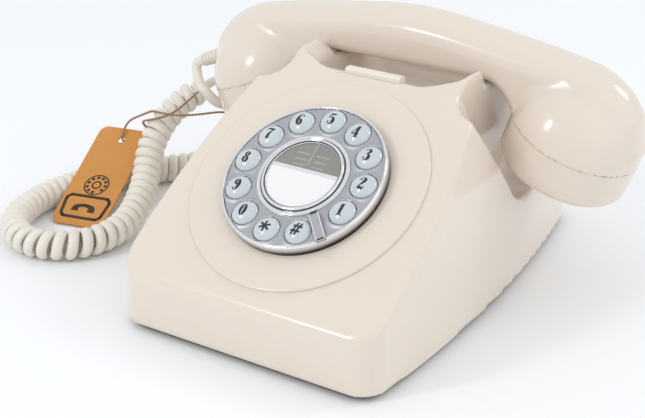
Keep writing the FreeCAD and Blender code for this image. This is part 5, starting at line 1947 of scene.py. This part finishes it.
@dataclass
class Cord:
    """Handset cord: plain lead, curly coil and plain tail, with ribbed strain reliefs. Sizes in mm."""

    casing: Casing
    coil_arc: float = 7.75
    wire_wide: float = 5.7
    wire_thick: float = 4.4
    pitch: float = 5.75
    bend_pitch: float = 6.5
    bend_back: float = 70.0
    bend_ease: float = 26.0
    hang_from: float = 30.0
    hang_ease: float = 16.0
    steps_per_turn: int = 20
    sides: int = 10
    relief_tip: float = 2.9
    relief_root: float = 3.5
    relief_length: float = 18.0
    relief_shank: float = 4.0
    relief_ribs: int = 6
    rib_first: float = 2.8
    rib_pitch: float = 2.5
    rib_thick: float = 1.5
    rib_proud: float = 0.7
    past_relief: float = 3.5
    coil_lead_in: float = 4.0
    exit_back: float = 207.5
    exit_high: float = 12.0
    spot_step: float = 0.25
    least_gap: float = 0.4
    plain_step: float = 1.0
    hang_share: float = 0.6
    ease_turns: float = 1.1
    tip_overlap: float = 2.0
    coil_gap: float = 0.6
    exit_run: float = 7.0
    blend_low: float = 12.0
    blend_high: float = 58.0
    declared_arc: float = 4.8

    def place(self, route: Sequence[tuple[float, float, float]]) -> list[Vector]:
        """Route points in the model's frame, in mm."""
        return [Vector((x, self.casing.back(y), z)) for x, y, z in route]

    def casing_exit(self) -> tuple[Vector, Vector]:
        """Where the cord enters the casing's left side, and its heading on the way out.

        Returns:
            The place, in mm, and the heading.
        """
        y = self.casing.back(self.exit_back)
        behind = y - self.casing.back(self.casing.widest_back)
        reach = self.casing.side_arc
        wide = math.sqrt(reach**2 - behind**2) - reach + self.casing.half_width
        return Vector((-wide, y, self.exit_high)), Vector((-1, 0, -0.08)).normalized()

    def relief(self, name: str, start: Vector, heading: Vector, node: str, body: str) -> bpy.types.Object:
        """Tapered strain relief with ribs.

        Args:
            name: The piece's name.
            start: Where it leaves the shell, in mm.
            heading: Its direction.
            node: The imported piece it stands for.
            body: The moving part it rides.

        Returns:
            The piece.
        """
        root, tip, long, shank = self.relief_root, self.relief_tip, self.relief_length, self.relief_shank
        profile = [(0, -shank, 0), (root, -shank, 0), (root, 0, 0), (tip, long, 0.9), (0, long, 0)]
        core = rounded(profile, steps=3)
        start_mesh = bpy.data.meshes.new(name)
        verts, faces = lathe(core * MM, 40, Matrix())
        start_mesh.from_pydata([tuple(v) for v in verts], [], [tuple(f) for f in faces])
        thick = self.rib_thick * MM
        ring = (root + self.rib_proud - self.rib_thick / 2) * MM
        recipe = Recipe(
            "ribbed_relief", Ribs=self.relief_ribs, First=self.rib_first * MM, Pitch=self.rib_pitch * MM,
            Taper=(root - tip) * self.rib_pitch / (long * root), Ring=ring, Thickness=thick,
        )
        rise = recipe.node("ShaderNodeCombineXYZ", Z=recipe.given("First"))
        step = recipe.node("ShaderNodeCombineXYZ", Z=recipe.given("Pitch"))
        settings, count = {"mode": "OFFSET"}, recipe.given("Ribs")
        spots = recipe.node("GeometryNodeMeshLine", settings, Count=count, Start_Location=rise, Offset=step)
        hoop = recipe.node("GeometryNodeCurvePrimitiveCircle", Resolution=40, Radius=recipe.given("Ring"))
        half = recipe.sum("MULTIPLY", recipe.given("Thickness"), 0.5)
        section = recipe.node("GeometryNodeCurvePrimitiveCircle", Resolution=10, Radius=half)
        rib = recipe.node("GeometryNodeCurveToMesh", Curve=hoop, Profile_Curve=section)
        less = recipe.sum("MULTIPLY", recipe.node("GeometryNodeInputIndex"), recipe.given("Taper"))
        scale = recipe.sum("SUBTRACT", 1.0, less)
        ribs = recipe.node("GeometryNodeInstanceOnPoints", Points=spots, Instance=rib, Scale=scale)
        both = recipe.node("GeometryNodeJoinGeometry", Geometry=[recipe.given("Geometry"), ribs])
        seat = Matrix.Translation(start * MM) @ heading.to_track_quat("Z", "Y").to_matrix().to_4x4()
        piece = recipe.grow(name, start_mesh, both, Finish.JACKET, seat, smooth=50.0)
        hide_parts(node)
        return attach(piece, body)

    def path(self, route: Sequence[Vector], first: int, last: int) -> tuple[Points, Points]:
        """The wire's own line: plain, then wound about the route between two of its points, then plain.

        Args:
            route: Points of the whole cord, in mm.
            first: Number of the point where the winding starts.
            last: Number of the point where it ends.

        Returns:
            The line's points in metres, and the direction away from the winding's axis at each.
        """
        line = even_points(spline_points([p * MM for p in route]), self.spot_step * MM)
        _, across, over = carried_frames(line)
        along = distance_along(line) / MM
        start = along[np.linalg.norm(line - np.array(route[first]) * MM, axis=1).argmin()]
        end = along[np.linalg.norm(line - np.array(route[last]) * MM, axis=1).argmin()]
        near_bend = smoothstep((self.casing.back(self.bend_back) - line[:, 1] / MM) / self.bend_ease)
        near_top = smoothstep((line[:, 2] / MM - self.hang_from) / self.hang_ease)
        wider = np.maximum(near_bend, self.hang_share * near_top)
        pitch = self.pitch + (self.bend_pitch - self.pitch) * wider
        inside = ((along >= start) & (along <= end)).astype(float)
        turns = np.concatenate(([0.0], np.cumsum(inside[1:] * np.diff(along) / pitch[1:])))
        marks = np.arange(0, turns[-1], 1 / self.steps_per_turn)
        wound = np.interp(marks, turns[inside > 0], along[inside > 0])
        plain_first = np.arange(0, start, self.plain_step)
        plain_last = np.arange(end, along[-1], self.plain_step)[1:]
        spots = np.concatenate((plain_first, wound, plain_last, [along[-1]]))
        turned_by = np.concatenate((0 * plain_first, marks, 0 * plain_last + marks[-1], [marks[-1]]))
        phase = -2 * math.pi * turned_by
        ease = self.pitch * self.ease_turns
        eased = smoothstep((spots - start) / ease), smoothstep((end - spots) / ease)
        radius = (self.coil_arc - self.wire_thick / 2) * eased[0] * eased[1]
        grids = (line, across, over)
        centre, a, b = (np.stack([np.interp(spots, along, g[:, k]) for k in range(3)], 1) for g in grids)
        out = a * np.cos(phase)[:, None] + b * np.sin(phase)[:, None]
        wire = centre + out * radius[:, None] * MM
        apart = np.linalg.norm(np.diff(wire, axis=0), axis=1) > self.least_gap * MM
        keep = np.concatenate(([True], apart))
        return wire[keep], out[keep]

    def build(self, handset: Handset) -> list[bpy.types.Object]:
        """Build the reliefs and the cord between them.

        Args:
            handset: The handset, whose mouth cup the cord leaves.

        Returns:
            The pieces.
        """
        start, heading = Vector(handset.exit_place), Vector(handset.exit_heading).normalized()
        end, out = self.casing_exit()
        reliefs = [
            self.relief("mouth_relief", start, heading, "relief_handset", "handset"),
            self.relief("casing_relief", end, out, "relief_base", "base"),
        ]
        tip = start + heading * self.relief_length
        root = end + out * self.relief_length
        coil = self.place(COIL_ROUTE)
        into_coil = (coil[1] - coil[0]).normalized()
        overlap = self.tip_overlap
        lead = [tip - heading * overlap, tip + heading * self.past_relief, *self.place(LEAD_ROUTE)]
        lead.append(coil[0] - into_coil * (self.coil_lead_in + self.coil_gap))
        route = [*lead, *coil, *self.place(TAIL_ROUTE), root + out * self.exit_run, root - out * overlap]
        path, outward = self.path(route, len(lead), len(lead) + len(coil) - 1)
        wide, thick = self.wire_wide * MM, self.wire_thick * MM
        cord = tubes_along("handset_cord", [path], [outward], thick, wide, self.sides, Finish.JACKET)
        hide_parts("cord_lead", "cord_coil", "cord_tail")
        low, high = (0, 0, self.blend_low * MM), (0, 0, self.blend_high * MM)
        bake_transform(cord)
        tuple(low)
        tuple(high)
        line_length(path)
        LOG.info("cord: %.3f m of wire", line_length(path))
        return [*reliefs, cord]


# ---- swing tag


@dataclass
class SwingTag:
    """Card tag's printed emblem and its twine. Sizes in mm."""

    casing: Casing
    corner: tuple[float, float, float] = (-175.6, 67.3, 0.9)
    yaw: float = 12.9
    lean: float = 63.0
    wide: float = 31.0
    long: float = 71.0
    thick: float = 0.8
    hole_down: float = 8.5
    twine: float = 1.2
    ply_share: float = 0.64
    lay_length: float = 3.4
    lay_arc_share: float = 0.41

    def seat(self) -> Matrix:
        """The tag's lower left corner, its X across, Y up the card and Z out of its face.

        Returns:
            The seat, in metres.
        """
        x, y, z = self.corner
        turn = Matrix.Rotation(math.radians(self.yaw), 4, "Z")
        tip = Matrix.Rotation(math.radians(90 - self.lean), 4, "X")
        return Matrix.Translation(Vector((x, self.casing.back(y), z)) * MM) @ (turn @ tip)

    def emblem(self) -> bpy.types.Object:
        """Plain printed emblem: a ring of dots over a framed handset.

        Returns:
            The emblem.
        """
        middle = self.wide / 2
        corners = [(-0.86, -0.55, 0.25), (0.86, -0.55, 0.25), (0.98, 0.55, 0.25), (-0.98, 0.55, 0.25)]
        frame = [(0.30 + 0.5 * u, 0.5 + 0.5 * v, 0.055) for u, v in rounded(corners)]
        frame.append(frame[0])
        handle = [(0.02, 0.40, 0.20), (0.02, 0.55, 0.16), (0.16, 0.63, 0.11), (0.30, 0.65, 0.11)]
        handle += [(0.44, 0.63, 0.11), (0.58, 0.55, 0.16), (0.58, 0.40, 0.20)]
        dots = [(MIDDLE + 0.40 * math.cos(a), 0.5 + 0.40 * math.sin(a), 0.075, 0.075, 0.07, 0.07)
                for a in np.linspace(-0.6, 2 * math.pi - 1.6, 10)]
        rings = [(MIDDLE, 0.5, 0.22, 0.22, 0.06, 0.06), (MIDDLE, 0.5, 0.56, 0.56, 0.05, 0.05)]
        glyphs = [
            (Glyph([frame]), 27.0, middle + 0.2, 12.5),
            (Glyph([handle]), 17.0, middle, 11.0),
            (Glyph(rings=[*dots, *rings]), 13.0, middle, 28.5),
        ]
        sign = printed("tag_emblem", glyphs, lambda u, v: self.thick, self.seat(), Finish.TAG_INK)
        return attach(sign, "handset")

    def string(self, name: str, route: Sequence[Vector], node: str) -> bpy.types.Object:
        """Two-ply twine along a route.

        Args:
            name: The piece's name.
            route: Points in mm.
            node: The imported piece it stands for.

        Returns:
            The piece.
        """
        line = even_points(spline_points([p * MM for p in route]), 0.3 * MM)
        _, across, over = carried_frames(line)
        along = distance_along(line) / MM
        ply = self.twine * self.ply_share
        plies, outward = [], []
        for start in (0.0, math.pi):
            angle = start + 2 * math.pi * along / self.lay_length
            away = across * np.cos(angle)[:, None] + over * np.sin(angle)[:, None]
            plies.append(line + away * (ply * self.lay_arc_share * MM))
            outward.append(away)
        piece = tubes_along(name, plies, outward, ply * MM, ply * MM, 8, Finish.TWINE)
        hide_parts(node)
        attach(piece, "handset")
        line_length(line)
        return piece

    def build(self) -> list[bpy.types.Object]:
        """Build the emblem and the twine.

        Returns:
            The pieces.
        """
        seat = self.seat()
        over = (seat @ (Vector((self.wide / 2, self.long - self.hole_down + 0.9, 2.2)) * MM)) / MM
        through = over - seat.to_3x3() @ Vector((0, 0, 4.6))
        routes = (TWINE_OUT, TWINE_BACK)
        out, back = ([Vector((x, self.casing.back(y), z)) for x, y, z in route] for route in routes)
        return [self.emblem(), self.string("tag_string", [*out, through, over, *back], "tag_twine")]


# ---- other finishes


@dataclass
class Fittings:
    """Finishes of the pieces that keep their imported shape."""

    nodes: dict[str, bpy.types.Object]
    finishes: dict[Finish, tuple[str, ...]] = field(default_factory=lambda: {
        Finish.IVORY: ("ear_cap", "mouth_cap", "line_socket"),
        Finish.PALE: ("recall_bar", "ringer_knob"),
        Finish.CLEAR: ("hook_yoke",),
        Finish.BLACK: ("base_plate", "hook_switch", "recall_switch", "ringer_switch"),
        Finish.GREY: ("dial_case", "hook_guide", "ear_capsule", "mouth_capsule"),
        Finish.RUBBER: ("rubber_feet",),
        Finish.MAT: ("keypad_mat",),
        Finish.BOARD: ("main_board", "keypad_board"),
        Finish.SATIN: ("finger_stop",),
        Finish.STEEL: ("case_screws", "board_screws", "hook_spring", "gong_posts", "ringer_frame"),
        Finish.BRASS: ("gong_left", "gong_right", "clapper"),
        Finish.COPPER: ("ringer_coils",),
        Finish.IRON: ("ballast_weight", "handset_weight"),
        Finish.CARD: ("swing_tag",),
    })

    def dress(self) -> None:
        """Give each piece its finish."""
        for finish, names in self.finishes.items():
            for name in names:
                recoat(self.nodes[name].data, finish.material())
            LOG.info("%s on %s", finish.name.lower(), ", ".join(names))


# ---- the studio


@dataclass(frozen=True)
class Lamp:
    """Soft oval light aimed at the telephone. Sizes in metres, power in watts."""

    name: str
    place: tuple[float, float, float]
    wide: float
    high: float
    power: float
    target: tuple[float, float, float] = (0.0, 0.0, 0.06)

    def build(self) -> None:
        """Build the light."""
        data = bpy.data.lights.new(self.name, "AREA")
        data.shape = "ELLIPSE"
        data.size = self.wide
        data.size_y = self.high
        data.energy = self.power
        holder = bpy.data.objects.new(self.name, data)
        holder.location = self.place
        aim = Vector(self.target) - Vector(self.place)
        holder.rotation_euler = aim.to_track_quat("-Z", "Y").to_euler()
        bpy.context.scene.collection.objects.link(holder)


@dataclass
class Studio:
    """Pale floor, soft lights and camera."""

    camera_place: tuple[float, float, float] = (0.3503, -0.5749, 0.3271)
    azimuth: float = 33.78
    elevation: float = 23.68
    lens: float = 82.94
    sensor: float = 36.0
    sky: float = 0.91
    sky_colour: Colour = (0.955, 0.975, 1.0)
    floor_dark: Colour = (0.90, 0.91, 0.925)
    floor_light: Colour = (0.93, 0.935, 0.945)
    lights: tuple[Lamp, ...] = (
        Lamp("key", (-0.52, -0.94, 0.76), 0.18, 0.36, 2.7),
        Lamp("side", (1.5, -0.35, 0.95), 2.4, 2.0, 3.2),
        Lamp("rear", (0.77, 0.74, 0.96), 0.45, 0.5, 2.2),
    )

    def floor(self) -> bpy.types.Object:
        """Wide pale floor.

        Returns:
            The floor.
        """
        reach, steps = 4.0, 8
        marks = np.linspace(-reach, reach, steps + 1)
        verts = [(x, y, 0.0) for y in marks for x in marks]
        row = steps + 1
        starts = [j * row + i for j in range(steps) for i in range(steps)]
        faces = [(k, k + 1, k + row + 1, k + row) for k in starts]
        floor = make_piece("floor", np.array(verts), faces, Finish.IVORY)
        paint = Paint("studio_floor")
        paint.set(
            Base_Color=paint.mix(paint.noise(1.5), self.floor_dark, self.floor_light),
            Roughness=0.5 + paint.noise(6.0) * 0.1,
            Specular_IOR_Level=0.3,
        )
        recoat(floor.data, paint.material)
        return floor

    def build(self) -> None:
        """Build the floor, lights, sky and camera."""
        self.floor()
        for lamp in self.lights:
            lamp.build()
        scene = bpy.context.scene
        world = bpy.data.worlds.new("studio")
        world.use_nodes = True
        sky = world.node_tree.nodes["Background"]
        sky.inputs["Color"].default_value = (*self.sky_colour, 1.0)
        sky.inputs["Strength"].default_value = self.sky
        scene.world = world
        scene.view_settings.view_transform = "Standard"
        data = bpy.data.cameras.new("camera")
        data.lens = self.lens
        data.sensor_width = self.sensor
        camera = bpy.data.objects.new("camera", data)
        camera.location = self.camera_place
        camera.rotation_euler = (math.radians(90 - self.elevation), 0, math.radians(self.azimuth))
        scene.collection.objects.link(camera)
        scene.camera = camera


def main() -> None:
    """Build the telephone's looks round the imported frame."""
    logging.basicConfig(level=logging.INFO, format="%(name)s: %(message)s")
    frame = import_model()
    Studio().build()
    casing, handset = Casing(), Handset()
    Fittings(frame["nodes"]).dress()
    recoat(frame["nodes"]["centre_label"].data, LabelPrint(casing.dial_seat()).material())
    pieces = [casing.build(), handset.build(), *Dial(casing).build()]
    pieces += [*Cord(casing).build(handset), *SwingTag(casing).build()]
    for piece in pieces:
        LOG.info("%s: %d faces", piece.name, len(piece.data.polygons))


if __name__ == "__main__":
    main()
